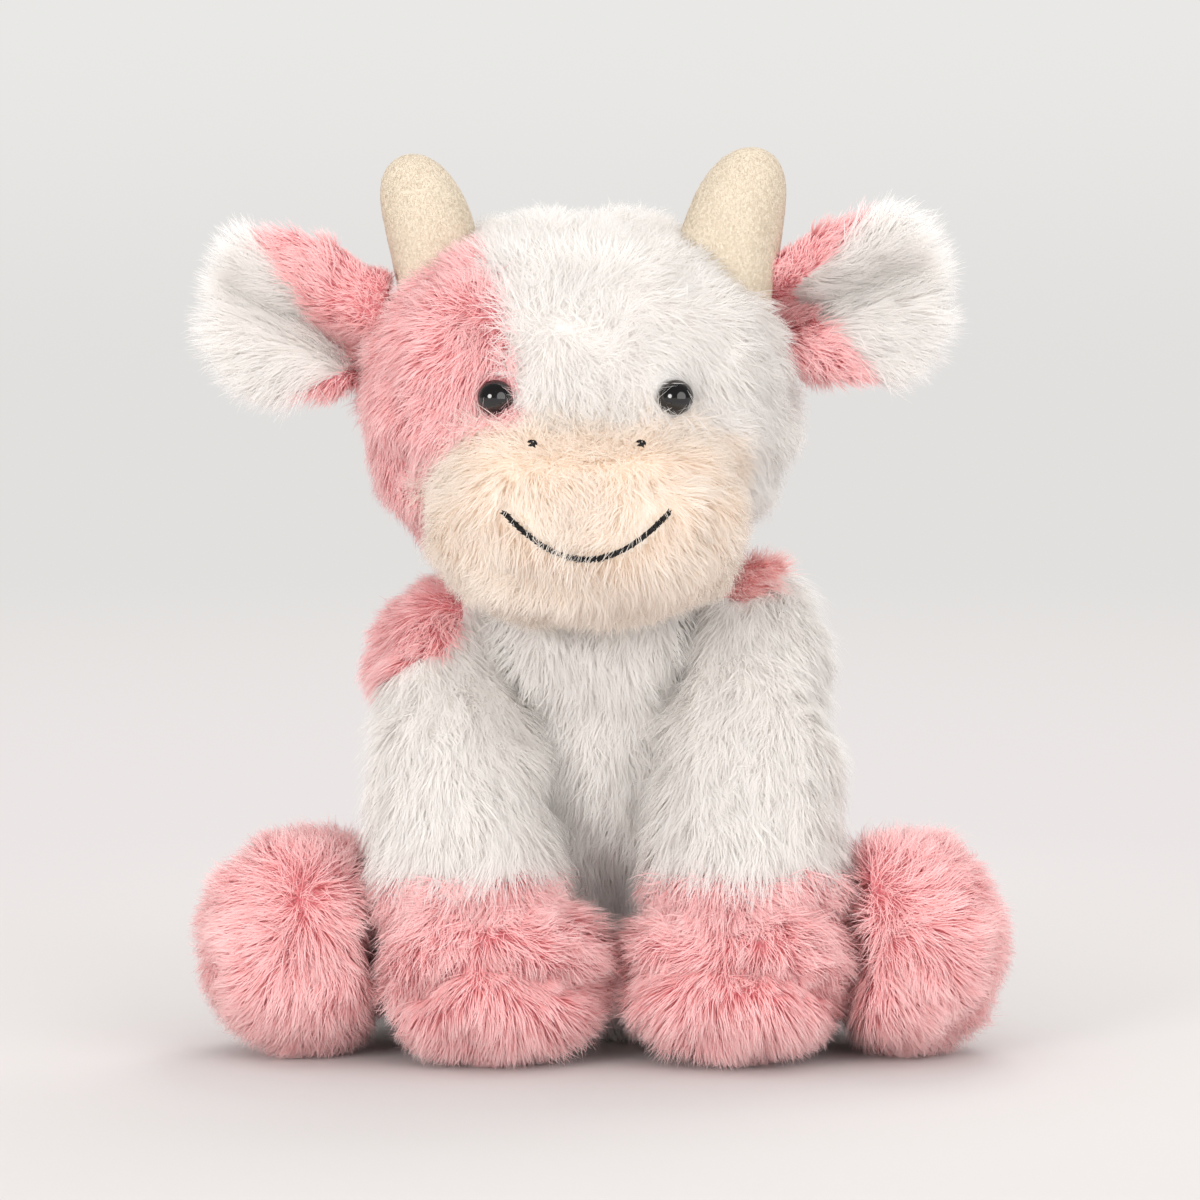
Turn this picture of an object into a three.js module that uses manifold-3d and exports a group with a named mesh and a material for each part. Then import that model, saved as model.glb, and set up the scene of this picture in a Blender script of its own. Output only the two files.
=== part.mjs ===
// A sitting plush cow: stuffed fur-fabric head, torso, arms and legs, with plastic eyes on shanks,
// stitched nostrils and smile, velour horns, folded ears and a tufted tail.
// Millimetres, +Z up. The cow looks along -Y and its own left side is at +X.
// The origin is the middle of the flat seat under the torso.
import * as THREE from "three";
import { mergeVertices } from "three/addons/utils/BufferGeometryUtils.js";
import Module from "manifold-3d";

const wasm = await Module();
wasm.setup();

// Fabric and clearances
const plush = 5; // fur fabric, backing and half the pile
const velour = 2; // short pile of the horns
const gap = 0.3; // between pieces that touch
const seatGap = 0.8; // round the seats that a limb turns in
const overrun = 40; // cutters run past what they cut
const sliver = 0.02; // shorter edges left by a cut are merged

// Torso
const torsoHalfWidth = 52;
const torsoHalfDepth = 44;
const torsoHeight = 146;
const seatRadiusShare = 0.78; // flat seat, of the half width
const torsoProfileShares = [
  [0.92, 0.035],
  [1, 0.14],
  [1, 0.3],
  [0.955, 0.48],
  [0.88, 0.64],
  [0.79, 0.77],
  [0.58, 0.88],
  [0.3, 0.965],
];
const neckRadius = 38;
const neckHeight = 114;
const neckAcross = 4; // the neck leans to the cow's right
const neckForward = 6;

// Head
const headHalfWidth = 62.5;
const headHalfDepth = 50;
const headHalfHeight = 51.5;
const headSquareness = 2.35; // 2 is an ellipsoid
const neckSeatDepth = 21.5; // how far the neck reaches up into the head
const headAcross = 3;
const headForward = 5;

// Muzzle
const muzzleHalfWidth = 44.5;
const muzzleHalfDepth = 31;
const muzzleHalfHeight = 28.5;
const muzzleSquareness = 2.3;
const muzzleDrop = 33; // below the middle of the head
const muzzleForward = 42; // in front of the middle of the head
const muzzleAcross = 2.5;

// Pink patch over the right side of the face, as shares of the head's half width and half height
const facePatchShares = [
  [-1.5, 1.5],
  [-0.52, 1.5],
  [-0.46, 0.9],
  [-0.36, 0.62],
  [-0.3, 0.3],
  [-0.26, 0.06],
  [-0.2, -0.12],
  [-0.3, -0.4],
  [-0.3, -0.8],
  [-1.5, -0.8],
];
const facePatchBackShare = 0.55; // of the half depth, behind the middle of the head

// Eyes: a dome on a ribbed shank, held from inside by a washer
const eyeRadius = 5;
const eyeHeight = 5.4;
const eyeRimHeight = 1;
const eyeSink = 1.2; // rim below the mean surface of the pile
const shankRadius = 2;
const shankRibHeight = 0.35;
const shankRibs = 3;
const shankLength = 12;
const washerRadius = 6.5;
const washerThickness = 1.5;
const washerLip = 1.2;
const eyeLeftAcrossShare = 0.435; // of the head's half width
const eyeRightAcrossShare = 0.363;
const eyeHeightShare = 0.03; // of the head's half height

// Stitched face
const nostrilHalfWidth = 1.7;
const nostrilHalfHeight = 1.4;
const nostrilAcrossShare = 0.33; // of the muzzle's half width
const nostrilRiseShare = 0.78; // of the muzzle's half height
const threadRadius = 1.1;
const smileHalfSpreadShare = 0.5; // of the muzzle's half width
const smileEndRiseShare = 0.14; // of the muzzle's half height
const smileSagShare = 0.44; // of the muzzle's half height
const smileSteps = 18;

// Horns
const hornBaseRadius = 13;
const hornTipRadius = 11.4;
const hornLength = 40;
const hornRootSink = 9; // root of the spine below the surface of the head
const hornRightAngle = 47; // degrees from the top of the head
const hornLeftAngle = 46.5;
const hornRightLean = 15; // degrees from upright
const hornLeftLean = 14;
const hornBendShare = 0.05; // of the length
const hornForward = 4; // in front of the middle of the head

// Ears
const earRollRadius = 7;
const earRollHalfLength = 10;
const earLength = 41;
const earFoldForward = 10; // degrees
const earFoldBack = 20;
const earSections = [
  // [share of the length, radius of the cup as a share of the ear's, half of its arc in degrees]
  [0, 0.72, 108],
  [0.2, 0.85, 100],
  [0.45, 0.98, 80],
  [0.7, 1.08, 61],
  [0.88, 1.12, 46],
  [1, 1.12, 28],
];
const earCupRadius = 25;
const earOuterThickness = 4;
const earLiningThickness = 3;
const earRightRise = 19; // degrees above the middle of the head
const earLeftRise = 24;
const earTilt = 8; // degrees, the tops of the root seams lean in
const earBackSetShare = 0.1; // of the head's half depth

// Arms: shoulder ball, sleeve and paw
const shoulderRadius = 25;
const shoulderHeight = 108;
const shoulderForward = 12;
const shoulderInsetRight = 8;
const shoulderInsetLeft = 11.5;
const elbowHalfWidth = 26;
const elbowHalfDepth = 22;
const elbowHeight = 76;
const elbowForward = 45;
const wristHalfWidth = 28;
const wristHalfDepth = 23;
const wristHeight = 51;
const wristForward = 58;
const cuffHalfWidth = 17;
const cuffHeight = 26;
const pawHalfWidth = 31;
const pawHalfDepth = 25;
const pawHalfHeight = 24.8;
const pawSquareness = 2.45;
const pawForward = 63;
const pawAcrossRight = 30.3;
const pawAcrossLeft = 37.8;
const pawSeamShare = 0.06; // of the half height, below the middle of the paw
const pawSeamTilt = 9; // degrees
const flatCut = 0.5; // flattened on the ground
const armRaise = 30; // degrees, as far as an arm lifts
const swingGap = 1.2; // between a raised arm and the chest

// Legs: hip ball, thigh and foot
const hipRadius = 25;
const hipHeight = 28;
const hipBack = 14.5;
const hipInset = 10;
const thighRadius = 22.5;
const ankleRadius = 19;
const footHalfWidth = 29.5;
const footHalfDepth = 29.5;
const footHalfHeight = 31;
const footSquareness = 2.2;
const footForward = 47;
const footAcross = 82;
const pressGap = 0.8; // between a foot and the arm that leans on it
const armSpillRight = 3.2; // sleeve wider than the paw, where it leans on the foot
const armSpillLeft = 0.4;

// Patches on the shoulders and the back, as shares of the shoulder ball and of the torso
const shoulderPatchRightShares = { at: [-0.88, 0.68, 0.5], half: [1.1, 1.8, 1.2] };
const shoulderPatchLeftShares = { at: [0.3, 0.8, 1.05], half: [0.75, 0.95, 0.7] };
const backPatchShares = { at: [-0.2, 1.1, 0.72], half: [0.8, 0.95, 0.27] };

// Tail
const tailRadius = 6;
const tailBallRadius = 8;
const tailHeight = 44;
const tailReach = 34; // behind the root, measured level
const tailTuftHalfWidth = 11;
const tailTuftHalfLength = 15;
const tailTuftClear = 1; // above the ground

const deg = THREE.MathUtils.degToRad;
const at = (x, y, z) => new THREE.Vector3(x, y, z);
const xAxis = at(1, 0, 0);
const yAxis = at(0, 1, 0);
const zAxis = at(0, 0, 1);

// How finely each kind of form is faceted
const fine = { around: 16, along: 9 };
const medium = { around: 14, along: 7 };
const coarse = { around: 8, along: 5 };

// Joining and cutting

function weld(geometry) {
  const bare = geometry.clone();
  bare.deleteAttribute("normal");
  bare.deleteAttribute("uv");
  const welded = mergeVertices(bare);
  const kept = [];
  const index = welded.index.array;
  for (let i = 0; i < index.length; i += 3) {
    const [a, b, c] = [index[i], index[i + 1], index[i + 2]];
    if (a !== b && b !== c && c !== a) kept.push(a, b, c);
  }
  welded.setIndex(kept);
  return welded;
}

function signedVolume(geometry) {
  const p = geometry.attributes.position;
  const index = geometry.index.array;
  const [a, b, c] = [at(0, 0, 0), at(0, 0, 0), at(0, 0, 0)];
  let volume = 0;
  for (let i = 0; i < index.length; i += 3) {
    a.fromBufferAttribute(p, index[i]);
    b.fromBufferAttribute(p, index[i + 1]);
    c.fromBufferAttribute(p, index[i + 2]);
    volume += a.dot(b.cross(c)) / 6;
  }
  return volume;
}

// A solid from a closed geometry, grown along its normals, or shrunk where grow is negative.
function solidOf(geometry, grow = 0) {
  const welded = weld(geometry);
  if (signedVolume(welded) < 0) welded.setIndex([...welded.index.array].reverse());
  if (grow) {
    welded.computeVertexNormals();
    const p = welded.attributes.position;
    const n = welded.attributes.normal;
    for (let i = 0; i < p.count; i++) {
      p.setXYZ(i, p.getX(i) + n.getX(i) * grow, p.getY(i) + n.getY(i) * grow, p.getZ(i) + n.getZ(i) * grow);
    }
  }
  return new wasm.Manifold(
    new wasm.Mesh({
      numProp: 3,
      vertProperties: new Float32Array(welded.attributes.position.array),
      triVerts: new Uint32Array(welded.index.array),
    }),
  );
}

const joined = (first, ...others) => others.reduce((sum, other) => sum.add(other), first);
const cut = (first, ...others) => others.reduce((rest, other) => rest.subtract(other), first);
const shared = (first, ...others) => others.reduce((rest, other) => rest.intersect(other), first);

// Shapes

// A ball squared off by its squareness and stretched to its half sizes.
function roundForm(centre, half, squareness, { around, along }) {
  const geometry = new THREE.SphereGeometry(1, around, along).rotateX(deg(90));
  const p = geometry.attributes.position;
  const d = at(0, 0, 0);
  for (let i = 0; i < p.count; i++) {
    d.fromBufferAttribute(p, i);
    const sum = Math.abs(d.x) ** squareness + Math.abs(d.y) ** squareness + Math.abs(d.z) ** squareness;
    d.multiplyScalar(sum ** (-1 / squareness)).multiply(half);
    p.setXYZ(i, d.x, d.y, d.z);
  }
  return geometry.translate(centre.x, centre.y, centre.z);
}

// A ball with its poles on the axis that it turns about, so that it turns freely in a like seat.
function ballShape(centre, radius, axis, { around, along }) {
  const geometry = new THREE.SphereGeometry(radius, around, along);
  geometry.applyQuaternion(new THREE.Quaternion().setFromUnitVectors(yAxis, axis));
  return geometry.translate(centre.x, centre.y, centre.z);
}
const ball = (centre, radius, axis, mesh = medium) => solidOf(ballShape(centre, radius, axis, mesh));

// Rounded sections strung along a spine that swell and taper, with domed ends.
function strungForm(stops, hint, { around, along }) {
  const spine = new THREE.CatmullRomCurve3(stops.map((stop) => stop.at));
  const sizes = new THREE.CatmullRomCurve3(stops.map((stop) => at(stop.wide, stop.deep, 0)));
  const capShare = 0.24;
  const stations = [];
  for (let i = 1; i < along; i++) stations.push(i / along);
  const points = [];
  for (const t of stations) {
    const end = Math.min(1, Math.min(t, 1 - t) / capShare);
    const round = Math.sqrt(1 - (1 - end) ** 2);
    const middle = spine.getPoint(t);
    const size = sizes.getPoint(t);
    const along3 = spine.getTangent(t);
    const side = hint.clone().addScaledVector(along3, -hint.dot(along3)).normalize();
    const depth = along3.clone().cross(side);
    const ring = [];
    for (let j = 0; j < around; j++) {
      const turn = (j / around) * Math.PI * 2;
      ring.push(
        middle
          .clone()
          .addScaledVector(side, Math.cos(turn) * size.x * round)
          .addScaledVector(depth, Math.sin(turn) * size.y * round),
      );
    }
    points.push(ring);
  }
  return closedRings(points, spine.getPoint(0), spine.getPoint(1));
}

function closedRings(rings, first, last) {
  const around = rings[0].length;
  const flat = rings.flat();
  const corners = [...flat, first, last];
  const index = [];
  for (let i = 0; i + 1 < rings.length; i++) {
    for (let j = 0; j < around; j++) {
      const [a, b] = [i * around + j, i * around + ((j + 1) % around)];
      index.push(a, b, a + around, b, b + around, a + around);
    }
  }
  const lastRing = (rings.length - 1) * around;
  for (let j = 0; j < around; j++) {
    const next = (j + 1) % around;
    index.push(flat.length, next, j);
    index.push(flat.length + 1, lastRing + j, lastRing + next);
  }
  const geometry = new THREE.BufferGeometry().setFromPoints(corners);
  geometry.setIndex(index);
  return geometry;
}

// A block whose top lies as deep under the ground as the form above it has grown.
function under(grow, reach) {
  const block = new THREE.BoxGeometry(reach, reach, reach);
  return solidOf(block.translate(0, 0, -reach / 2 - grow));
}

// The half space beyond a plane square to X, on the side that the sign gives.
function beyond(x, sign, reach) {
  const block = new THREE.BoxGeometry(reach, reach, reach);
  return solidOf(block.translate(x + (sign * reach) / 2, 0, 0));
}

// A revolved piece standing on a surface, with its axis along the normal there.
function turned(outline, foot, normal, around) {
  const lathe = new THREE.LatheGeometry(outline, around).rotateX(deg(90));
  lathe.applyQuaternion(new THREE.Quaternion().setFromUnitVectors(zAxis, normal));
  return lathe.translate(foot.x, foot.y, foot.z);
}

// Point and normal on the front of a squared ball, at shares of its half sizes.
function onFront(centre, half, squareness, acrossShare, riseShare) {
  const rest = 1 - Math.abs(acrossShare) ** squareness - Math.abs(riseShare) ** squareness;
  const depthShare = -(rest ** (1 / squareness));
  const slope = (share, size) => (Math.sign(share) * Math.abs(share) ** (squareness - 1)) / size;
  return {
    point: at(acrossShare, depthShare, riseShare).multiply(half).add(centre),
    normal: at(slope(acrossShare, half.x), slope(depthShare, half.y), slope(riseShare, half.z)).normalize(),
  };
}

// The part: a group for each stuffed body, turning about its own seat

const whole = new THREE.Group();

function body(pivot, parent = whole) {
  const group = new THREE.Group();
  parent.updateWorldMatrix(true, false);
  group.position.copy(parent.worldToLocal(pivot.clone()));
  parent.add(group);
  return group;
}

function piece(group, name, solid, colour, roughness = 1) {
  const { vertProperties, triVerts, numProp } = solid.simplify(sliver).getMesh();
  const positions = new Float32Array((vertProperties.length / numProp) * 3);
  for (let i = 0; i < positions.length / 3; i++) {
    for (let k = 0; k < 3; k++) positions[i * 3 + k] = vertProperties[i * numProp + k];
  }
  const geometry = new THREE.BufferGeometry();
  geometry.setAttribute("position", new THREE.BufferAttribute(positions, 3));
  geometry.setIndex(new THREE.BufferAttribute(new Uint32Array(triVerts), 1));
  group.updateWorldMatrix(true, false);
  geometry.applyMatrix4(group.matrixWorld.clone().invert());
  geometry.computeVertexNormals();
  const material = new THREE.MeshStandardMaterial({ color: colour, roughness, metalness: 0 });
  const mesh = new THREE.Mesh(geometry, material);
  mesh.name = name;
  group.add(mesh);
}

const white = 0xf4f1ee;
const pink = 0xe993a0;
const peach = 0xfae2d0;
const cream = 0xf3e4c6;
const black = 0x0b0b0c;
const fibre = 0xf8f8f6;

// Where the bodies turn
const neck = at(-neckAcross, -neckForward, neckHeight);
const headLift = neckRadius + headHalfHeight - neckSeatDepth;
const headCentre = at(neck.x - headAcross, neck.y - headForward, neck.z + headLift);
const headHalf = at(headHalfWidth, headHalfDepth, headHalfHeight);
const muzzleCentre = at(
  headCentre.x + muzzleAcross,
  headCentre.y - muzzleForward,
  headCentre.z - muzzleDrop,
);
const muzzleHalf = at(muzzleHalfWidth, muzzleHalfDepth, muzzleHalfHeight);
const wide = 4 * (torsoHeight + headHalfHeight); // longer than the cow

// Head and muzzle as forms
const headForm = (grow, mesh = fine) =>
  solidOf(roundForm(headCentre, headHalf, headSquareness, mesh), grow);
const muzzleForm = (grow, mesh = medium) =>
  solidOf(roundForm(muzzleCentre, muzzleHalf, muzzleSquareness, mesh), grow);

// Torso: a revolved pear, flat underneath, with the neck ball on top
const torsoOutline = () => {
  const outline = [new THREE.Vector2(0, 0), new THREE.Vector2(torsoHalfWidth * seatRadiusShare, 0)];
  for (const [across, up] of torsoProfileShares) {
    outline.push(new THREE.Vector2(torsoHalfWidth * across, torsoHeight * up));
  }
  outline.push(new THREE.Vector2(0, torsoHeight));
  return outline;
};
function torsoShape(mesh) {
  const pear = new THREE.LatheGeometry(torsoOutline(), mesh.around).rotateX(deg(90));
  return pear.scale(1, torsoHalfDepth / torsoHalfWidth, 1);
}
const torsoForm = (grow, mesh = fine) => solidOf(torsoShape(mesh), grow);
// A form turned about an axis along X through a pivot.
const turnedAbout = (form, pivot, angle) =>
  form.translate(-pivot.x, -pivot.y, -pivot.z).rotateX(deg(angle)).translate(pivot.x, pivot.y, pivot.z);

const sides = [
  { name: "left", sign: 1, inset: shoulderInsetLeft, pawAcross: pawAcrossLeft, spill: armSpillLeft },
  { name: "right", sign: -1, inset: shoulderInsetRight, pawAcross: pawAcrossRight, spill: armSpillRight },
];
for (const side of sides) {
  side.shoulder = at(side.sign * (torsoHalfWidth - side.inset), -shoulderForward, shoulderHeight);
  side.hip = at(side.sign * (torsoHalfWidth - hipInset), hipBack, hipHeight);
  side.paw = at(side.sign * side.pawAcross, -pawForward, pawHalfHeight - flatCut);
  side.foot = at(side.sign * footAcross, -footForward, footHalfHeight - flatCut);
  // the upright plane where the foot leans on the arm and paw
  side.press = side.paw.x + side.sign * (pawHalfWidth + side.spill);
}
const midline = (sides[0].paw.x + sides[1].paw.x) / 2;

const tailRoot = at(0, torsoHalfDepth, tailHeight);
const torsoSeats = joined(
  ...sides.map((side) => ball(side.shoulder, shoulderRadius + seatGap, xAxis)),
  ...sides.map((side) => ball(side.hip, hipRadius + seatGap, zAxis)),
  ball(tailRoot, tailBallRadius + seatGap, zAxis),
);
const torsoBody = (grow, mesh) =>
  joined(torsoForm(grow, mesh), ball(neck, neckRadius + grow, xAxis, mesh));
const insideHead = joined(headForm(gap), muzzleForm(gap));

const torsoGroup = body(at(0, 0, 0));
const torsoShell = cut(torsoBody(0, fine), torsoBody(-plush, coarse), torsoSeats, insideHead);
const backPatchForm = (grow) => {
  const { at: place, half } = backPatchShares;
  const scale = at(torsoHalfWidth, torsoHalfDepth, torsoHeight);
  return solidOf(roundForm(at(...place).multiply(scale), at(...half).multiply(scale), 2.6, coarse), grow);
};
piece(torsoGroup, "torso_skin", cut(torsoShell, backPatchForm(gap)), white);
piece(torsoGroup, "back_patch", shared(torsoShell, backPatchForm(0)), pink);
const neckPlug = shared(ball(neck, neckRadius, xAxis, fine), headForm(0));
const torsoFill = cut(joined(torsoBody(-plush - gap, coarse), neckPlug), torsoSeats);
piece(torsoGroup, "torso_stuffing", torsoFill, fibre);

// Eyes: dome, shank and washer, set square to the head
const plane = (r, z) => new THREE.Vector2(r, z);
const eyeOutline = () => {
  const ribPitch = shankLength / (2 * shankRibs + 1);
  const outline = [plane(0, -shankLength)];
  for (let rib = 0; rib < shankRibs; rib++) {
    const low = -shankLength + 2 * rib * ribPitch;
    outline.push(plane(shankRadius, low), plane(shankRadius + shankRibHeight, low + ribPitch));
  }
  outline.push(plane(shankRadius, -ribPitch), plane(shankRadius, 0), plane(eyeRadius, 0));
  const steps = 5;
  for (let i = 0; i <= steps; i++) {
    const turn = (i / steps) * deg(90);
    const rise = eyeRimHeight + (eyeHeight - eyeRimHeight) * Math.sin(turn);
    outline.push(plane(i < steps ? eyeRadius * Math.cos(turn) : 0, rise));
  }
  return outline;
};
// The hole that the shank passes through, and the dent that the rim presses into the pile
const eyeRoomOutline = () => [
  plane(0, -shankLength - gap),
  plane(shankRadius + shankRibHeight + gap, -shankLength - gap),
  plane(shankRadius + shankRibHeight + gap, -gap),
  plane(eyeRadius + gap, -gap),
  plane(eyeRadius + gap, eyeHeight + gap),
  plane(0, eyeHeight + gap),
];
// A washer with a turned-up lip, pushed along the shank until it bears on the fabric
const washerFront = eyeSink - plush - gap;
const washerBack = washerFront - washerThickness;
const washerOutline = () => {
  const bore = shankRadius + shankRibHeight + gap;
  return [
    plane(bore, washerFront),
    plane(bore, washerBack),
    plane(washerRadius - washerThickness / 2, washerBack),
    plane(washerRadius, washerBack - washerLip),
    plane(washerRadius, washerFront),
    plane(bore, washerFront),
  ];
};
const washerRoomOutline = () => [
  plane(0, washerBack - washerLip - gap),
  plane(washerRadius + gap, washerBack - washerLip - gap),
  plane(washerRadius + gap, washerFront + gap),
  plane(0, washerFront + gap),
];
const eyes = [
  { name: "left", across: eyeLeftAcrossShare },
  { name: "right", across: -eyeRightAcrossShare },
];
for (const eye of eyes) {
  const { point, normal } = onFront(headCentre, headHalf, headSquareness, eye.across, eyeHeightShare);
  const seat = point.clone().addScaledVector(normal, -eyeSink);
  eye.solid = solidOf(turned(eyeOutline(), seat, normal, 12));
  eye.washer = solidOf(turned(washerOutline(), seat, normal, 12));
  eye.room = solidOf(turned(eyeRoomOutline(), seat, normal, 12));
  eye.washerRoom = solidOf(turned(washerRoomOutline(), seat, normal, 12));
}

// Horns: velour fingers on the crown
const hornsAt = [
  { name: "left", sign: 1, angle: hornLeftAngle, lean: hornLeftLean },
  { name: "right", sign: -1, angle: hornRightAngle, lean: hornRightLean },
];
for (const horn of hornsAt) {
  const turn = deg(horn.angle);
  const surface = at(horn.sign * Math.sin(turn) * headHalfWidth, -hornForward, Math.cos(turn) * headHalfHeight);
  const up = at(horn.sign * Math.sin(deg(horn.lean)), 0, Math.cos(deg(horn.lean)));
  const inward = surface.clone().normalize();
  const root = headCentre.clone().add(surface).addScaledVector(inward, -hornRootSink);
  const out = at(horn.sign, 0, 0);
  const bend = hornLength * hornBendShare;
  const stop = (share, radius, sway) => ({
    at: root.clone().addScaledVector(up, hornLength * share).addScaledVector(out, sway),
    wide: radius,
    deep: radius,
  });
  horn.stops = [
    stop(0, hornBaseRadius, 0),
    stop(0.35, hornBaseRadius, -bend),
    stop(0.7, (hornBaseRadius + hornTipRadius) / 2, -bend),
    stop(1, hornTipRadius, 0),
  ];
  horn.form = (grow, mesh) => solidOf(strungForm(horn.stops, xAxis, mesh), grow);
}

// Ears: a cupped leaf with a lining, on a roll that lies in the root seam
const earsAt = [
  { name: "left", sign: 1, rise: earLeftRise },
  { name: "right", sign: -1, rise: earRightRise },
];
function earSheet(inset, thickness, sign) {
  const shares = new THREE.CatmullRomCurve3(
    earSections.map(([share, radius, arc]) => at(share, radius, arc)),
  );
  const rows = 6;
  const columns = 8;
  const rimPoint = (row, turnShare, depth) => {
    const section = shares.getPoint(row / rows);
    const radius = earCupRadius * section.y;
    const turn = deg(section.z) * turnShare;
    const reach = earRollRadius * 0.6 + earLength * section.x;
    const r = radius - depth;
    return at(sign * reach, earRollRadius - (radius - r * Math.cos(turn)), r * Math.sin(turn));
  };
  const rings = [];
  for (let row = 0; row <= rows; row++) {
    const ring = [];
    for (let j = 0; j <= columns; j++) ring.push(rimPoint(row, (2 * j) / columns - 1, inset));
    for (let j = columns; j >= 0; j--) {
      ring.push(rimPoint(row, (2 * j) / columns - 1, inset + thickness));
    }
    rings.push(ring);
  }
  const middle = (row) => rimPoint(row, 0, inset + thickness / 2);
  return closedStrip(rings, middle(0), middle(rows), columns);
}
// Closes both ends of a folded strip across its thickness.
function closedStrip(rings, first, last, columns) {
  const around = rings[0].length;
  const index = [];
  for (let i = 0; i + 1 < rings.length; i++) {
    for (let j = 0; j < around; j++) {
      const [a, b] = [i * around + j, i * around + ((j + 1) % around)];
      if (j <= columns) index.push(a, b, a + around, b, b + around, a + around);
      else index.push(a, b, b + around, a, b + around, a + around);
    }
  }
  for (const [ring, flip] of [
    [0, true],
    [rings.length - 1, false],
  ]) {
    for (let j = 0; j < columns; j++) {
      const [a, b] = [ring * around + j, ring * around + j + 1];
      const [c, d] = [ring * around + around - 1 - j, ring * around + around - 2 - j];
      if (flip) index.push(a, c, b, b, c, d);
      else index.push(a, b, c, b, d, c);
    }
  }
  const geometry = new THREE.BufferGeometry().setFromPoints(rings.flat());
  geometry.setIndex(index);
  return geometry;
}
for (const ear of earsAt) {
  const turn = deg(ear.rise);
  ear.root = at(
    headCentre.x + ear.sign * Math.cos(turn) * headHalfWidth,
    headCentre.y + headHalfDepth * earBackSetShare,
    headCentre.z + Math.sin(turn) * headHalfHeight,
  );
  ear.lean = -ear.sign * deg(earTilt);
  ear.place = (geometry) =>
    geometry.rotateY(ear.lean).translate(ear.root.x, ear.root.y, ear.root.z);
  // the head as the folded ear meets it, turned back to the ear at rest
  ear.headPast = (fold) => {
    const form = roundForm(headCentre, headHalf, headSquareness, medium);
    form.translate(-ear.root.x, -ear.root.y, -ear.root.z).rotateY(-ear.lean).rotateZ(deg(fold));
    return solidOf(ear.place(form), 3 * gap);
  };
  ear.roll = (grow) => {
    const roll = new THREE.CapsuleGeometry(earRollRadius + grow, 2 * earRollHalfLength, 2, 10);
    return solidOf(ear.place(roll.rotateX(deg(90))));
  };
}

// Head: skin, face patch and muzzle round one stuffing
const headGroup = body(neck, torsoGroup);
const neckRoom = ball(neck, neckRadius + seatGap, xAxis, fine);
const headRooms = [
  neckRoom,
  ...eyes.map((eye) => joined(eye.room, eye.washerRoom)),
  ...earsAt.map((ear) => ear.roll(seatGap)),
];
const headShell = cut(headForm(0), headForm(-plush, coarse), muzzleForm(-plush, coarse), ...headRooms);
function facePatchForm(grow) {
  const outline = new THREE.Shape(
    facePatchShares.map(
      ([across, up]) => new THREE.Vector2(headHalfWidth * across + grow, headHalfHeight * up),
    ),
  );
  const depth = headHalfDepth * (1 + facePatchBackShare) + overrun;
  const slab = new THREE.ExtrudeGeometry(outline, { depth: depth + grow, bevelEnabled: false });
  slab.rotateX(deg(90));
  slab.translate(headCentre.x, headCentre.y + headHalfDepth * facePatchBackShare + grow, headCentre.z);
  return solidOf(slab);
}
piece(headGroup, "head_skin", cut(headShell, facePatchForm(gap)), white);
piece(headGroup, "face_patch", shared(headShell, facePatchForm(0)), pink);
const muzzleShell = cut(muzzleForm(0), muzzleForm(-plush, coarse), headForm(gap), neckRoom);
piece(headGroup, "muzzle_skin", muzzleShell, peach);
const headFill = cut(
  joined(headForm(-plush - gap, coarse), muzzleForm(-plush - gap, coarse)),
  ...headRooms,
);
piece(headGroup, "head_stuffing", headFill, fibre);

for (const eye of eyes) {
  piece(headGroup, `eye_${eye.name}`, eye.solid, black, 0.08);
  piece(headGroup, `eye_washer_${eye.name}`, eye.washer, white, 0.5);
}

for (const [name, sign] of [
  ["left", 1],
  ["right", -1],
]) {
  const { point } = onFront(
    muzzleCentre,
    muzzleHalf,
    muzzleSquareness,
    sign * nostrilAcrossShare,
    nostrilRiseShare,
  );
  const half = at(nostrilHalfWidth, nostrilHalfWidth, nostrilHalfHeight);
  const knot = solidOf(roundForm(point, half, 2, { around: 8, along: 6 }));
  piece(headGroup, `nostril_${name}`, cut(knot, muzzleForm(gap), headForm(gap)), black, 0.7);
}

// The smile lies on the muzzle as one sagging line of stitches
const smilePath = [];
for (let i = 0; i <= smileSteps; i++) {
  const share = (2 * i) / smileSteps - 1;
  const across = smileHalfSpreadShare * share;
  const rise = smileEndRiseShare - smileSagShare * (1 - share * share);
  const { point, normal } = onFront(muzzleCentre, muzzleHalf, muzzleSquareness, across, rise);
  smilePath.push(point.addScaledVector(normal, threadRadius / 3));
}
const thread = new THREE.Shape().absarc(0, 0, threadRadius, 0, 2 * Math.PI);
const smileTube = new THREE.ExtrudeGeometry(thread, {
  steps: smileSteps,
  extrudePath: new THREE.CatmullRomCurve3(smilePath),
  curveSegments: 3,
  bevelEnabled: false,
});
piece(headGroup, "smile", cut(solidOf(smileTube), muzzleForm(gap)), black, 0.7);

for (const horn of hornsAt) {
  const shell = cut(horn.form(0, medium), horn.form(-velour, coarse), headForm(gap));
  piece(headGroup, `horn_${horn.name}`, shell, cream);
  const fill = cut(horn.form(-velour - gap, coarse), headForm(gap));
  piece(headGroup, `horn_stuffing_${horn.name}`, fill, fibre);
}

for (const ear of earsAt) {
  const group = body(ear.root, headGroup);
  const leaf = solidOf(ear.place(earSheet(0, earOuterThickness, ear.sign)));
  const lining = solidOf(ear.place(earSheet(earOuterThickness + gap, earLiningThickness, ear.sign)));
  const heads = [
    headForm(gap),
    ear.headPast(-ear.sign * earFoldForward * -1),
    ear.headPast(-ear.sign * earFoldBack),
  ];
  const outer = joined(cut(leaf, ...heads), ear.roll(0));
  piece(group, `ear_${ear.name}_outer`, outer, pink);
  piece(group, `ear_${ear.name}_lining`, cut(lining, ...heads, ear.roll(gap)), white);
}

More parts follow.
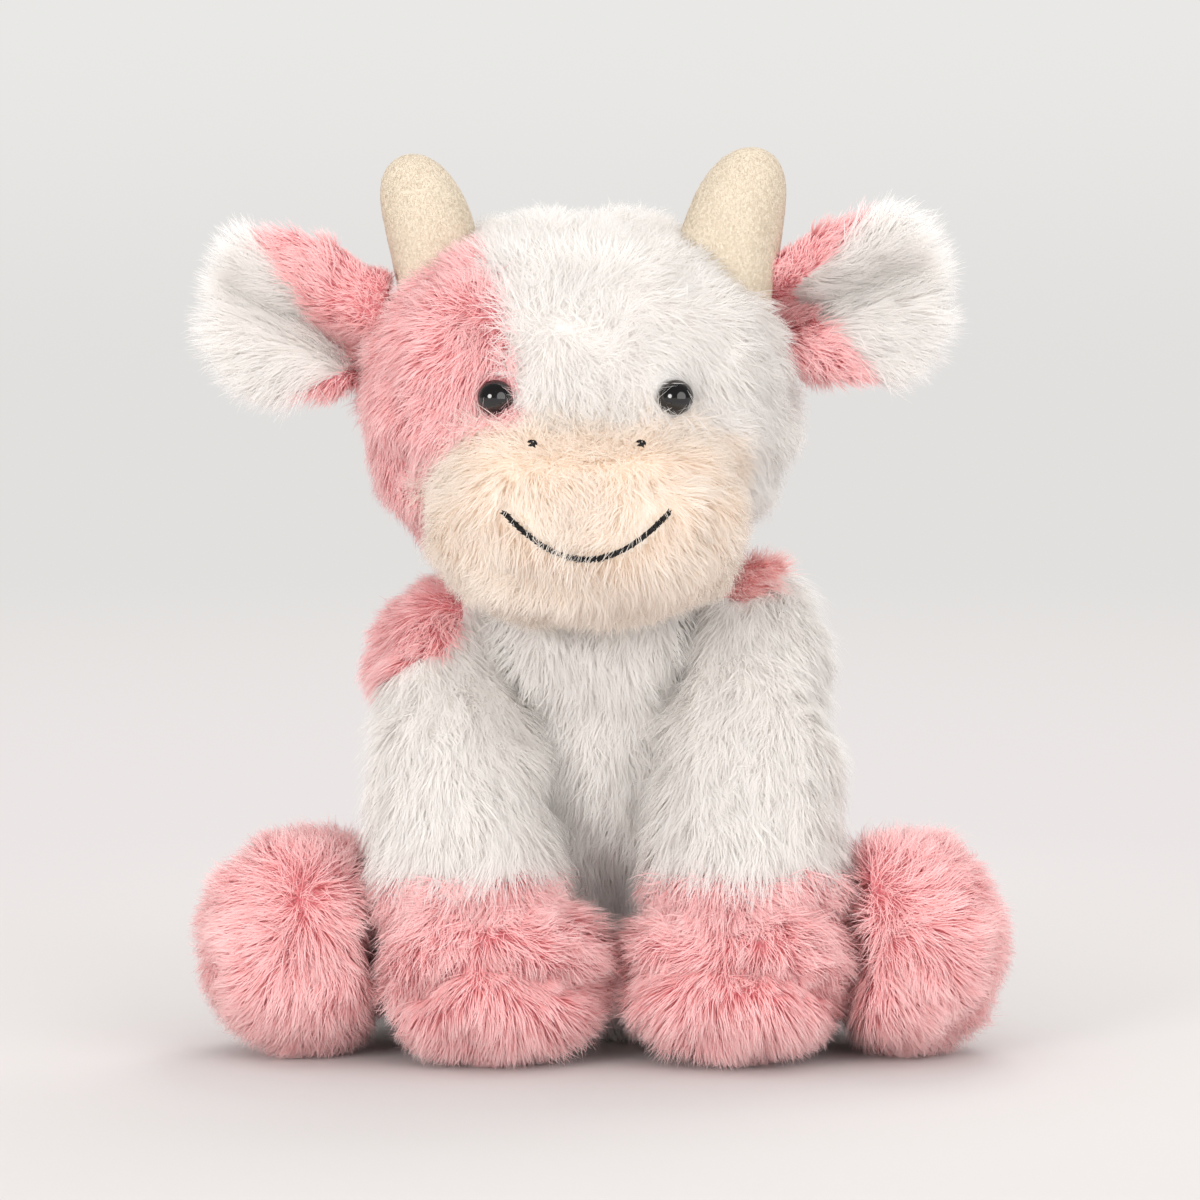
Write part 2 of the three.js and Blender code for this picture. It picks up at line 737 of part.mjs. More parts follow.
// Arms: a shoulder ball in the side of the torso, a sleeve down the front and a paw on the ground
for (const side of sides) {
  const { name, sign, shoulder, paw, press } = side;
  const elbowX = shoulder.x + (paw.x - shoulder.x) * 0.1;
  const wristX = shoulder.x + (paw.x - shoulder.x) * 0.45;
  const elbow = at(elbowX, -elbowForward, elbowHeight);
  // the limb starts behind its ball, so that it leaves the ball at full width
  const armStart = shoulder.clone().sub(elbow).setLength(shoulderRadius / 2).add(shoulder);
  const stops = [
    { at: armStart, wide: shoulderRadius, deep: shoulderRadius },
    { at: elbow, wide: elbowHalfWidth, deep: elbowHalfDepth },
    { at: at(wristX, -wristForward, wristHeight), wide: wristHalfWidth, deep: wristHalfDepth },
    { at: at(paw.x, -pawForward, cuffHeight), wide: cuffHalfWidth, deep: cuffHalfWidth },
  ];
  // the chest as the raised arm meets it, turned back to the arm at rest
  const chestPast = (raise, grow) => {
    const chest = [torsoShape(medium), ballShape(neck, neckRadius, xAxis, medium)].map((form) =>
      solidOf(turnedAbout(form, shoulder, raise), swingGap - grow),
    );
    return joined(...chest);
  };
  // what the arm must keep clear of, whatever its layer
  const keepOff = (grow) => [
    torsoBody(gap - grow, grow ? coarse : fine),
    chestPast(armRaise / 2, grow),
    chestPast(armRaise, grow),
    beyond(press + sign * grow, sign, wide),
    beyond(midline + sign * (gap / 2 - grow), -sign, wide),
    under(grow, wide),
  ];
  const limb = (grow, mesh) => solidOf(strungForm(stops, xAxis, mesh), grow);
  const pawHalf = at(pawHalfWidth, pawHalfDepth, pawHalfHeight);
  const pawForm = (grow, mesh) => solidOf(roundForm(paw, pawHalf, pawSquareness, mesh), grow);
  side.pawForm = pawForm;
  const armBody = (grow, mesh) =>
    joined(cut(limb(grow, mesh), ...keepOff(grow)), ball(shoulder, shoulderRadius + grow, xAxis, mesh));
  const pawBody = (grow, mesh) => cut(pawForm(grow, mesh), ...keepOff(grow));

  const group = body(shoulder, torsoGroup);
  const sleeve = cut(armBody(0, medium), armBody(-plush, coarse), torsoBody(gap, fine), pawForm(gap, medium));
  const shares = name === "left" ? shoulderPatchLeftShares : shoulderPatchRightShares;
  const patchCentre = at(...shares.at).multiplyScalar(shoulderRadius).add(shoulder);
  const patchHalf = at(...shares.half).multiplyScalar(shoulderRadius);
  const patch = (grow) => solidOf(roundForm(patchCentre, patchHalf, 2.4, coarse), grow);
  piece(group, `sleeve_${name}`, cut(sleeve, patch(gap)), white);
  piece(group, `shoulder_patch_${name}`, shared(sleeve, patch(0)), pink);

  const pawShell = cut(pawBody(0, medium), pawBody(-plush, coarse), limb(-plush, coarse));
  const soleBlock = (grow) => {
    const block = new THREE.BoxGeometry(wide, wide, wide).translate(0, 0, -wide / 2 + grow);
    block.rotateX(deg(pawSeamTilt));
    block.translate(paw.x, paw.y, paw.z - pawHalfHeight * pawSeamShare);
    return solidOf(block);
  };
  piece(group, `paw_${name}`, cut(pawShell, soleBlock(gap)), pink);
  piece(group, `paw_sole_${name}`, shared(pawShell, soleBlock(0)), pink);
  const plug = shared(ball(shoulder, shoulderRadius, xAxis), torsoBody(0, fine));
  const fill = joined(armBody(-plush - gap, coarse), pawBody(-plush - gap, coarse), plug);
  piece(group, `arm_stuffing_${name}`, fill, fibre);
}

// Legs: a hip ball low in the side of the torso, a short thigh and a round foot
for (const side of sides) {
  const { name, sign, hip, foot, press } = side;
  const middle = hip.clone().lerp(foot, 0.5);
  const legStart = hip.clone().sub(foot).setLength(hipRadius / 2).add(hip);
  const stops = [
    { at: legStart, wide: hipRadius, deep: hipRadius },
    { at: middle, wide: thighRadius, deep: thighRadius },
    { at: foot, wide: ankleRadius, deep: ankleRadius },
  ];
  const keepOff = (grow) => [
    torsoForm(gap - grow, grow ? coarse : fine),
    beyond(press + sign * (pressGap - grow), -sign, wide),
    under(grow, wide),
  ];
  const limb = (grow, mesh) => solidOf(strungForm(stops, zAxis, mesh), grow);
  const footHalf = at(footHalfWidth, footHalfDepth, footHalfHeight);
  const footForm = (grow, mesh) => solidOf(roundForm(foot, footHalf, footSquareness, mesh), grow);
  const legBody = (grow, mesh) =>
    joined(
      cut(
        limb(grow, mesh),
        torsoForm(gap - grow, grow ? coarse : fine),
        side.pawForm(pressGap - grow, medium),
        under(grow, wide),
      ),
      ball(hip, hipRadius + grow, zAxis, mesh),
    );
  const footBody = (grow, mesh) => cut(footForm(grow, mesh), ...keepOff(grow));

  const group = body(hip, torsoGroup);
  const skin = cut(legBody(0, medium), legBody(-plush, coarse), torsoForm(gap), footForm(gap, medium));
  piece(group, `leg_${name}`, skin, white);
  const footShell = cut(footBody(0, medium), footBody(-plush, coarse), limb(-plush, coarse));
  piece(group, `foot_${name}`, footShell, pink);
  const plug = shared(ball(hip, hipRadius, zAxis), torsoForm(0));
  const fill = joined(legBody(-plush - gap, coarse), footBody(-plush - gap, coarse), plug);
  piece(group, `leg_stuffing_${name}`, fill, fibre);
}

// Tail: a sewn strip that hangs from the back seam to a tuft just above the ground
const tailGroup = body(tailRoot, torsoGroup);
const tuftHeight = tailTuftClear + tailTuftHalfWidth;
const tuft = at(tailRoot.x, tailRoot.y + tailReach, tuftHeight);
const tailStops = [
  { at: tailRoot, wide: tailRadius, deep: tailRadius },
  {
    at: at(tailRoot.x, tailRoot.y + tailReach * 0.55, tailHeight - (tailHeight - tuftHeight) * 0.3),
    wide: tailRadius,
    deep: tailRadius,
  },
  { at: tuft, wide: tailRadius, deep: tailRadius },
];
const tailForm = solidOf(strungForm(tailStops, xAxis, coarse));
const tuftForm = (grow) =>
  solidOf(
    roundForm(tuft, at(tailTuftHalfWidth, tailTuftHalfLength, tailTuftHalfWidth), 2, coarse),
    grow,
  );
const tailStrip = joined(cut(tailForm, torsoForm(gap)), ball(tailRoot, tailBallRadius, zAxis));
piece(tailGroup, "tail", cut(tailStrip, tuftForm(gap)), white);
piece(tailGroup, "tail_tuft", tuftForm(0), pink);

export default whole;
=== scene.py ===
import math

import bpy
import numpy as np
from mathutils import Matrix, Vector
from mathutils.bvhtree import BVHTree
from mathutils.kdtree import KDTree


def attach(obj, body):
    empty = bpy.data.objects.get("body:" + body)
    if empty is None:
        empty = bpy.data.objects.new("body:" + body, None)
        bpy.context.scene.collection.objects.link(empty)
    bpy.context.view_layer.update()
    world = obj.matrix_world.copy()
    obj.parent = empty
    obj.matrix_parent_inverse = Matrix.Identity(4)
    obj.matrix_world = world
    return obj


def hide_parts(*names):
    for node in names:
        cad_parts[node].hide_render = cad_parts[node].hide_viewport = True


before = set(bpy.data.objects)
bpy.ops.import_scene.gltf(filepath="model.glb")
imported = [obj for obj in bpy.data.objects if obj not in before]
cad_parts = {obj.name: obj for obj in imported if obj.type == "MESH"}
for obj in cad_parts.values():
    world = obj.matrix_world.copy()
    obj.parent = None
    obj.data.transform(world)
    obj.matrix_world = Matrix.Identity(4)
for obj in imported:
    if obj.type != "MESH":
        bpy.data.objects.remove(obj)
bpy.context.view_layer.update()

mm = 0.001
print("frame loaded:", len(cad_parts), "nodes")


# Camera, floor and light

view = {
    "from": (-0.0009, -1.1472, 0.20398),
    "at": (-0.0009, 0.0, 0.12376),
    "lens": 118.97,
    "sensor": 36,
    "clip": (0.01, 60),
}

def srgb(red, green, blue):
    # a colour as it looks in the picture, turned into the linear one that shaders use
    made = []
    for part in (red, green, blue):
        c = part / 255
        made.append(c / 12.92 if c <= 0.04045 else ((c + 0.055) / 1.055) ** 2.4)
    return (*made, 1.0)

def placed(name, data):
    piece = bpy.data.objects.new(name, data)
    bpy.context.scene.collection.objects.link(piece)
    return piece

def aimed(name, data, place, target):
    # cameras and lamps look along their own -Z
    thing = placed(name, data)
    thing.location = place
    thing.rotation_mode = "QUATERNION"
    thing.rotation_quaternion = (Vector(target) - Vector(place)).to_track_quat("-Z", "Y")
    return thing

def addCamera():
    camera = aimed("camera", bpy.data.cameras.new("camera"), view["from"], view["at"])
    camera.data.lens = view["lens"]
    camera.data.sensor_width = view["sensor"]
    camera.data.clip_start, camera.data.clip_end = view["clip"]
    bpy.context.scene.camera = camera

studio = {
    "wallLow": srgb(226, 224, 222),
    "wallHigh": srgb(233, 232, 230),
    "wallRise": (-0.02, 0.08),  # sine of the angle above the horizon
    "floor": srgb(206, 203, 202),
    "floorGlow": srgb(235, 230, 229),
    "floorHalf": 9.0,  # metres from the middle to an edge
    "floorFade": (0.15, 0.5),  # metres from the cow
    "wallFade": (0.5, 2.2),
    "skyLight": (0.6, 1.22),  # level with the floor and overhead
    "skyColour": (1.0, 0.99, 0.985, 1.0),
    "shineLight": (0.2, 0.7),  # what polished things mirror of the room in front and behind
    "lamps": [
        # name, place, aimed at, size, watts, colour
        ("keyLamp", (-0.95, -1.35, 0.45), (0.0, 0.0, 0.12), 0.7, 15.3, (1.0, 0.985, 0.965)),
        ("fillLamp", (1.0, -1.28, 0.36), (0.0, 0.0, 0.1), 1.7, 17.0, (1.0, 0.985, 0.97)),
        ("backLamp", (0.3, 0.75, 1.15), (0.0, 0.0, 0.08), 0.8, 5.5, (1.0, 0.985, 0.97)),
    ],
}

def setInputs(tree, node, inputs):
    # each input gets a value, or the output that feeds it
    for name, value in inputs.items():
        if isinstance(value, bpy.types.NodeSocket):
            tree.links.new(value, node.inputs[name])
        else:
            node.inputs[name].default_value = value

def addNode(tree, kind, inputs=None, **settings):
    node = tree.nodes.new("ShaderNode" + kind)
    for name, value in settings.items():
        setattr(node, name, value)
    setInputs(tree, node, inputs or {})
    return node

def between(tree, value, ends):
    # 0 at the first end, 1 at the second, smooth in between
    inputs = {"Value": value, "From Min": ends[0], "From Max": ends[1]}
    return addNode(tree, "MapRange", inputs, interpolation_type="SMOOTHSTEP").outputs[0]

def blendColours(tree, share, first, second):
    inputs = {"Factor": share, "A": first, "B": second}
    return addNode(tree, "Mix", inputs, data_type="RGBA").outputs["Result"]

def mixedShaders(tree, share, first, second):
    return addNode(tree, "MixShader", {0: share, 1: first.outputs[0], 2: second.outputs[0]})

def emptyTree(block):
    block.use_nodes = True
    block.node_tree.nodes.clear()
    return block.node_tree

def addWorld():
    # the sky lights the cow, polished things mirror a dimmer room, and the camera sees the wall
    world = bpy.data.worlds.new("studio")
    bpy.context.scene.world = world
    tree = emptyTree(world)
    way = addNode(tree, "SeparateXYZ", {0: addNode(tree, "TexCoord").outputs["Generated"]}).outputs
    lights = []
    for part, (low, high) in (("Z", studio["skyLight"]), ("Y", studio["shineLight"])):
        level = addNode(tree, "MapRange", {"Value": way[part], "To Min": low, "To Max": high}).outputs[0]
        lights.append(addNode(tree, "Background", {"Color": studio["skyColour"], "Strength": level}))
    share = between(tree, way["Z"], studio["wallRise"])
    wallColour = blendColours(tree, share, studio["wallLow"], studio["wallHigh"])
    wall = addNode(tree, "Background", {"Color": wallColour})
    rays = addNode(tree, "LightPath").outputs
    light = mixedShaders(tree, rays["Is Glossy Ray"], *lights)
    seen = mixedShaders(tree, rays["Is Camera Ray"], light, wall)
    addNode(tree, "OutputWorld", {"Surface": seen.outputs[0]})

def addFloor():
    # matt near the cow, further off it fades into the wall
    half = studio["floorHalf"]
    square = [(-half, -half, 0), (half, -half, 0), (half, half, 0), (-half, half, 0)]
    mesh = bpy.data.meshes.new("floor")
    mesh.from_pydata(square, [], [(0, 1, 2, 3)])
    material = bpy.data.materials.new("pale floor")
    tree = emptyTree(material)
    place = addNode(tree, "TexCoord").outputs["Object"]
    reach = addNode(tree, "VectorMath", {0: place}, operation="LENGTH").outputs["Value"]
    matt = addNode(tree, "BsdfDiffuse", {"Color": studio["floor"]})
    far = between(tree, reach, studio["wallFade"])
    farColour = blendColours(tree, far, studio["floorGlow"], studio["wallLow"])
    glow = addNode(tree, "Emission", {"Color": farColour})
    mixed = mixedShaders(tree, between(tree, reach, studio["floorFade"]), matt, glow)
    addNode(tree, "OutputMaterial", {"Surface": mixed.outputs[0]})
    mesh.materials.append(material)
    placed("floor", mesh)

def addLamps():
    for name, place, target, size, watts, colour in studio["lamps"]:
        lamp = aimed(name, bpy.data.lights.new(name, "AREA"), place, target)
        lamp.data.shape = "DISK"
        lamp.data.size = size
        lamp.data.energy = watts
        lamp.data.color = colour

addCamera()
addWorld()
addFloor()
addLamps()
bpy.context.scene.view_settings.view_transform = "Standard"
print("camera and studio ready")


# Fur fabric: a smooth pelt under the pile, and the pile as thin tapered strands

strandLook = {
    "roughness": 0.62, "specular": 0.28, "sheen": 0.25, "sheenRoughness": 0.5,
    "stops": (0.05, 0.45, 0.95),  # where the tones of root, middle and tip stand along a strand
    "shades": 256,  # how many shades the strands have
    "paleFrom": 0.45,  # the share of the strands that don't get paler
    "paleMost": 0.75,
}
peltLook = {
    "roughness": 0.9, "specular": 0.15, "stops": (0.35, 0.75),
    "knit": 900, "knitStrength": 0.5, "knitDepth": 0.6,
}
furColours = {
    # tones: root, middle and tip of a strand, and the paler colour that some strands have; the darker root is
    # partly the fibre's own colour, partly painted shade deep in the pile
    # backing: its share of the tones, kept below one as painted shade among the roots; through: the share of
    # the light that passes the fine fibres
    "white": {
        "tones": [(246, 243, 240), (250, 248, 246), (251, 249, 247), (252, 251, 249)],
        "backing": 0.9, "through": 0.58, "slot": "white_fur",
    },
    "pink": {
        "tones": [(231, 134, 142), (254, 200, 200), (255, 228, 227), (255, 244, 242)],
        "backing": 0.75, "through": 0.42, "slot": "pink_fur",
    },
    # a paler copy of the pink: painted light that lifts the left shoulder patch out of the head's shade
    "blush": {
        "tones": [(242, 172, 172), (255, 218, 215), (255, 238, 235), (255, 249, 247)],
        "backing": 0.9, "through": 0.55, "slot": "pink_fur",
    },
    "peach": {
        "tones": [(252, 238, 223), (254, 246, 237), (254, 249, 243), (255, 252, 248)],
        "backing": 0.93, "through": 0.58, "slot": "peach_fur",
    },
    "cream": {
        "tones": [(221, 208, 188), (224, 212, 193), (226, 215, 198), (228, 218, 201)],
        "backing": 0.9, "through": 0.42, "sheen": 0.8, "slot": "cream_velour",
    },
}

def newMaterial(name, inputs):
    material = bpy.data.materials.new(name)
    material.use_nodes = True
    tree = material.node_tree
    shader = tree.nodes["Principled BSDF"]
    setInputs(tree, shader, inputs)
    return material, tree, shader

def rampedColour(tree, share, stops):
    ramp = addNode(tree, "ValToRGB", {"Fac": share})
    marks = ramp.color_ramp.elements
    for i, (place, colour) in enumerate(stops):
        mark = marks[i] if i < 2 else marks.new(place)
        mark.position = place
        mark.color = colour
    return ramp.outputs["Color"]

def noise(tree, size):
    place = addNode(tree, "TexCoord").outputs["Object"]
    return addNode(tree, "TexNoise", {"Vector": place, "Scale": size, "Detail": 3}).outputs["Fac"]

def bumps(tree, height, strength, depth):
    return addNode(tree, "Bump", {"Height": height, "Strength": strength, "Distance": depth}).outputs[0]

def strandMaterial(name):
    # the strand's own map runs across all strands in U and from root to tip in V
    look = {**strandLook, **furColours[name]}
    root, middle, tip, pale = (srgb(*tone) for tone in look["tones"])
    rootStop, middleStop, tipStop = look["stops"]
    material, tree, shader = newMaterial(name + " pile", {
        "Roughness": look["roughness"], "Specular IOR Level": look["specular"],
        "Sheen Weight": look["sheen"], "Sheen Roughness": look["sheenRoughness"],
    })
    where = addNode(tree, "UVMap", uv_map="OFBake").outputs["UV"]
    parts = addNode(tree, "SeparateXYZ", {0: where}).outputs
    # the ramp darkens towards the root: partly the fibre's own colour, partly painted shade deep in the pile
    along = rampedColour(tree, parts["Y"], [(rootStop, root), (tipStop, tip), (middleStop, middle)])
    step = addNode(tree, "Math", {0: parts["X"], 1: 1 / look["shades"]}, operation="SNAP").outputs[0]
    grain = addNode(tree, "TexWhiteNoise", {"W": step}, noise_dimensions="1D").outputs["Value"]
    inputs = {"Value": grain, "From Min": look["paleFrom"], "To Max": look["paleMost"]}
    share = addNode(tree, "MapRange", inputs).outputs[0]
    paler = addNode(tree, "Math", {0: share, 1: parts["Y"]}, operation="MULTIPLY").outputs[0]
    colour = blendColours(tree, paler, along, pale)
    setInputs(tree, shader, {"Base Color": colour})
    glow = addNode(tree, "BsdfTranslucent", {"Color": colour})
    both = mixedShaders(tree, look["through"], shader, glow)
    setInputs(tree, tree.nodes["Material Output"], {"Surface": both.outputs[0]})
    return material

def peltMaterial(name):
    # the knitted backing between the roots, darker than the pile as painted shade under the strands
    look = {**peltLook, **furColours[name]}
    tones = [[look["backing"] * part for part in srgb(*tone)[:3]] + [1] for tone in look["tones"][:2]]
    material, tree, shader = newMaterial(name + " backing", {
        "Roughness": look["roughness"], "Specular IOR Level": look["specular"],
    })
    knit = noise(tree, look["knit"])
    colour = rampedColour(tree, knit, list(zip(look["stops"], tones)))
    raised = bumps(tree, knit, look["knitStrength"], look["knitDepth"] * mm)
    setInputs(tree, shader, {"Base Color": colour, "Normal": raised})
    return material

strandMaterials = {name: strandMaterial(name) for name in furColours}
peltMaterials = {name: peltMaterial(name) for name in furColours}

nodeColours = {
    # the fur colour of each CAD skin
    "torso_skin": "white", "back_patch": "pink",
    "head_skin": "white", "face_patch": "pink", "muzzle_skin": "peach",
    "tail": "white", "tail_tuft": "pink",
}
for side in ("left", "right"):
    for name in ("sleeve_", "leg_"):
        nodeColours[name + side] = "white"
    for name in ("shoulder_patch_", "paw_", "paw_sole_", "foot_"):
        nodeColours[name + side] = "pink"

def pointsAndFaces(mesh):
    mesh.calc_loop_triangles()
    points = np.zeros(len(mesh.vertices) * 3, np.float32)
    faces = np.zeros(len(mesh.loop_triangles) * 3, np.int32)
    mesh.vertices.foreach_get("co", points)
    mesh.loop_triangles.foreach_get("vertices", faces)
    return points.reshape(-1, 3).astype(float), faces.reshape(-1, 3)

def unit(vectors):
    return vectors / np.maximum(np.linalg.norm(vectors, axis=-1, keepdims=True), 1e-12)

def faceNormals(points, faces):
    # each is twice the triangle's area long
    a, b, c = points[faces.T]
    return np.cross(b - a, c - a)

def vertexNormals(points, faces):
    flat, normals = faceNormals(points, faces), np.zeros_like(points)
    for corner in faces.T:
        np.add.at(normals, corner, flat)
    return unit(normals)

def searchTree(points, faces):
    return BVHTree.FromPolygons(points.tolist(), faces.tolist())

def joinedNodes(names):
    points, faces, owners, start = [], [], [], 0
    for name in names:
        some, others = pointsAndFaces(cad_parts[name].data)
        points.append(some)
        faces.append(others + start)
        owners += [name] * len(others)
        start += len(some)
    return np.concatenate(points), np.concatenate(faces), owners

def largestIsland(points, faces):
    # every point takes the lowest number of its neighbours until nothing changes
    parent = np.arange(len(points))
    while True:
        low, new = parent[faces].min(axis=1), parent.copy()
        for corner in faces.T:
            np.minimum.at(new, corner, low)
        new = new[new]
        if (new == parent).all():
            break
        parent = new
    island = parent[faces[:, 0]]
    keep = faces[island == np.bincount(island).argmax()]
    used = np.unique(keep)
    renumber = np.zeros(len(points), np.int64)
    renumber[used] = np.arange(len(used))
    return points[used], renumber[keep]

def remeshed(points, faces, voxel):
    mesh = bpy.data.meshes.new("tmp")
    mesh.from_pydata(points.tolist(), [], faces.tolist())
    piece = placed("tmp", mesh)
    modifier = piece.modifiers.new("voxels", "REMESH")
    modifier.mode = "VOXEL"
    modifier.voxel_size = voxel * mm
    graph = bpy.context.evaluated_depsgraph_get()
    made = bpy.data.meshes.new_from_object(piece.evaluated_get(graph))
    result = pointsAndFaces(made)
    bpy.data.objects.remove(piece)
    bpy.data.meshes.remove(mesh)
    bpy.data.meshes.remove(made)
    return result

def smoothed(points, faces, passes):
    # in and out again, so that the pelt doesn't shrink
    sides = np.stack([faces, np.roll(faces, -1, axis=1)], axis=-1).reshape(-1, 2)
    edges = np.unique(np.sort(sides, axis=1), axis=0)
    counts = np.bincount(edges.ravel(), minlength=len(points))[:, None]
    for step in range(passes):
        factor = (0.55, -0.5)[step % 2]
        total = np.zeros_like(points)
        np.add.at(total, edges[:, 0], points[edges[:, 1]])
        np.add.at(total, edges[:, 1], points[edges[:, 0]])
        points = points + factor * (total / counts - points)
    return points

def distanceToLine(points, line):
    best = np.full(len(points), 1e9)
    for a, b in zip(line[:-1], line[1:]):
        ab = b - a
        t = np.clip(((points - a) @ ab) / (ab @ ab), 0, 1)
        best = np.minimum(best, np.linalg.norm(points - a - t[:, None] * ab, axis=1))
    return best

def dented(points, normals, line, depth, width):
    # a furrow along a line; line, depth and width in millimetres; a depth below zero swells instead
    gone = distanceToLine(points, np.array(line) * mm)
    return points - normals * (depth * mm * np.exp(-((gone / (width * mm)) ** 2)))[:, None]

def waves(points, size, seed):
    # smooth noise from -1 to 1, as large as size
    maker = np.random.default_rng(seed)
    total = np.zeros(len(points))
    for _ in range(7):
        way = unit(maker.normal(size=3)) * (2 * math.pi / size) * maker.uniform(0.6, 1.4)
        total += np.sin(points @ way + maker.uniform(0, 2 * math.pi))
    return total / 3.2

def layered(points, seed, layers):
    # each layer of waves: its height, and its size in millimetres
    return sum(height * waves(points, size * mm, seed + i) for i, (height, size) in enumerate(layers))

peltForm = {
    # in millimetres
    "voxel": 2.4,
    "sink": 3.0,  # the height of the pile
    "lumps": [(0.9, 26), (0.5, 13)],
    "floorGap": 0.8,
    "passes": 24,
    "lastPasses": 4,
}
tuckForm = {"reach": 36, "height": 19, "share": 0.4}

pelts = {}

def sewPelt(name, body, skins, fillings, dents=(), recolour=None, tuck=None, **form):
    # the pelt follows the skins of the CAD body, smoothed and sunk by the height of the pile
    form = {**peltForm, **form}
    points, faces, _ = joinedNodes(skins + fillings)
    points, faces = largestIsland(*remeshed(points, faces, form["voxel"]))
    points = smoothed(points, faces, form["passes"])
    depths = form["sink"] - layered(points, len(name), form["lumps"])
    points = points - vertexNormals(points, faces) * (depths * mm)[:, None]
    for dent in dents:
        points = dented(points, vertexNormals(points, faces), *dent)
    points = smoothed(points, faces, form["lastPasses"])
    if tuck:
        drawIn(points, tuck)
    points[:, 2] = np.maximum(points[:, 2], form["floorGap"] * mm)
    *skin, owners = joinedNodes(skins)
    tree, middles = searchTree(*skin), points[faces].mean(axis=1)
    colours = np.array([nodeColours[owners[tree.find_nearest(middle)[2]]] for middle in middles], dtype="<U8")
    if recolour:
        recolour(middles / mm, colours)
    keepPelt(name, body, points, faces, colours, skins + fillings)

def drawIn(points, middle):
    # the stuffed end draws in above the floor
    offset = points[:, :2] - np.array(middle) * mm
    near = np.exp(-((np.linalg.norm(offset, axis=1) / (tuckForm["reach"] * mm)) ** 6))
    low = np.clip(1 - points[:, 2] / (tuckForm["height"] * mm), 0, 1) ** 1.6
    points[:, :2] -= offset * (tuckForm["share"] * low * near)[:, None]

def keepPelt(name, body, points, faces, colours, replaced):
    names = sorted(set(colours))
    mesh = bpy.data.meshes.new(name)
    mesh.from_pydata(points.tolist(), [], faces.tolist())
    for colour in names:
        mesh.materials.append(peltMaterials[colour])
    mesh.polygons.foreach_set("material_index", [names.index(c) for c in colours])
    mesh.shade_smooth()
    piece = placed(name, mesh)
    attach(piece, body)
    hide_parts(*replaced)
    pelts[name] = {
        "body": body, "points": points, "faces": faces,
        "normals": vertexNormals(points, faces), "colours": colours,
        "tree": searchTree(points, faces),
    }
    print("pelt", name, len(points), "points")

def laid(*rows, reach=14, pull=1.0):
    # each row: a place on the fur and the way the nap lies there, seen from the front
    return [{"at": row[:3], "way": (row[3], 0, row[4]), "reach": reach, "pull": pull} for row in rows]

def whorl(*at, reach=30, pull=1.0):
    return [{"at": at, "reach": reach, "pull": pull}]

def downwards(*rows, reach=60):
    return [{"at": row[:3], "way": row[3:], "reach": reach, "pull": 1.0} for row in rows]

def combing(points, normals, guides, look, seed):
    # each guide pulls the nap its way near its place, and a whorl lays it outwards all round, bent by smooth
    # waves; where the guides disagree, and at a whorl's middle, the nap is loose
    flow, total = np.zeros_like(points), np.zeros(len(points))
    size = look["unevenSize"] * mm
    bent = look["uneven"] * mm * np.stack([waves(points, size, seed + i) for i in (11, 12, 13)], axis=1)
    for guide in guides:
        offset, reach = points - np.array(guide["at"]) * mm, guide["reach"] * mm
        weight = 1 / ((offset ** 2).sum(axis=1) + reach ** 2) ** 2 * reach ** 4 * guide["pull"]
        if "way" in guide:
            way = np.broadcast_to(unit(np.array(guide["way"], float)), points.shape)
        else:
            way = offset + bent
            way /= np.linalg.norm(way, axis=1, keepdims=True) + look["whorlMiddle"] * mm
        flow += way * weight[:, None]
        total += weight
    flow -= normals * (flow * normals).sum(axis=1, keepdims=True)
    loose = 1 - np.clip(np.linalg.norm(flow, axis=1) / total * look["tidiness"], 0, 1)
    return unit(flow), loose

def turnedAbout(vectors, axes, angles):
    c, s = np.cos(angles)[:, None], np.sin(angles)[:, None]
    along = axes * (axes * vectors).sum(axis=1, keepdims=True)
    return vectors * c + np.cross(axes, vectors) * s + along * (1 - c)

pile = {
    "perSquareCentimetre": 250,
    "width": 0.3,  # millimetres at the root
    "rings": 3,  # pairs of points along a strand before its tip
    "clump": 22,  # strands that lean together
    "clumpPull": 0.3,
    "clumpPulls": (0.3, 1.5),
    "rise": (52, 10),  # degrees from the pelt at the root and at the tip
    "stand": 12,  # degrees more where the nap is loose
    "tangle": 75,  # degrees of scatter more where the nap is loose
    "scatter": 20,  # degrees
    "swirl": 20,
    "uneven": 6,  # millimetres by which a whorl is bent
    "unevenSize": 17,
    "whorlMiddle": 6,
    "tidiness": 1.4,
    "twist": 15,
    "taper": 0.55,
    "roundness": 0.15,
    "lengths": (0.7, 1.12),  # the shortest and the longest share of the length
    "widths": (0.7, 1.2),
    "lengthWaves": [(0.12, 14)],
    "swirlWaves": [(1, 22), (0.6, 8)],
    "liftScatter": 0.16,
    "liftWaves": [(0.16, 10)],
    "floorShare": 0.6,  # how much of its length a strand keeps at the floor
    "floorReach": 9,
    "floorGap": 0.25,
    "floorScatter": 0.5,
}

def rootsOn(pelt, colour, density, maker):
    points, normals = pelt["points"], pelt["normals"]
    chosen = pelt["faces"][pelt["colours"] == colour]
    areas = np.linalg.norm(faceNormals(points, chosen), axis=1) / 2
    count = int(areas.sum() * 1e4 * pile["perSquareCentimetre"] * density)
    pick = maker.choice(len(chosen), count, p=areas / areas.sum())
    u, v = maker.random(count), maker.random(count)
    flip = u + v > 1
    u[flip], v[flip] = 1 - u[flip], 1 - v[flip]
    mix = np.stack([1 - u - v, u, v], axis=1)[:, :, None]
    chosen = chosen[pick]
    return (points[chosen] * mix).sum(axis=1), unit((normals[chosen] * mix).sum(axis=1))

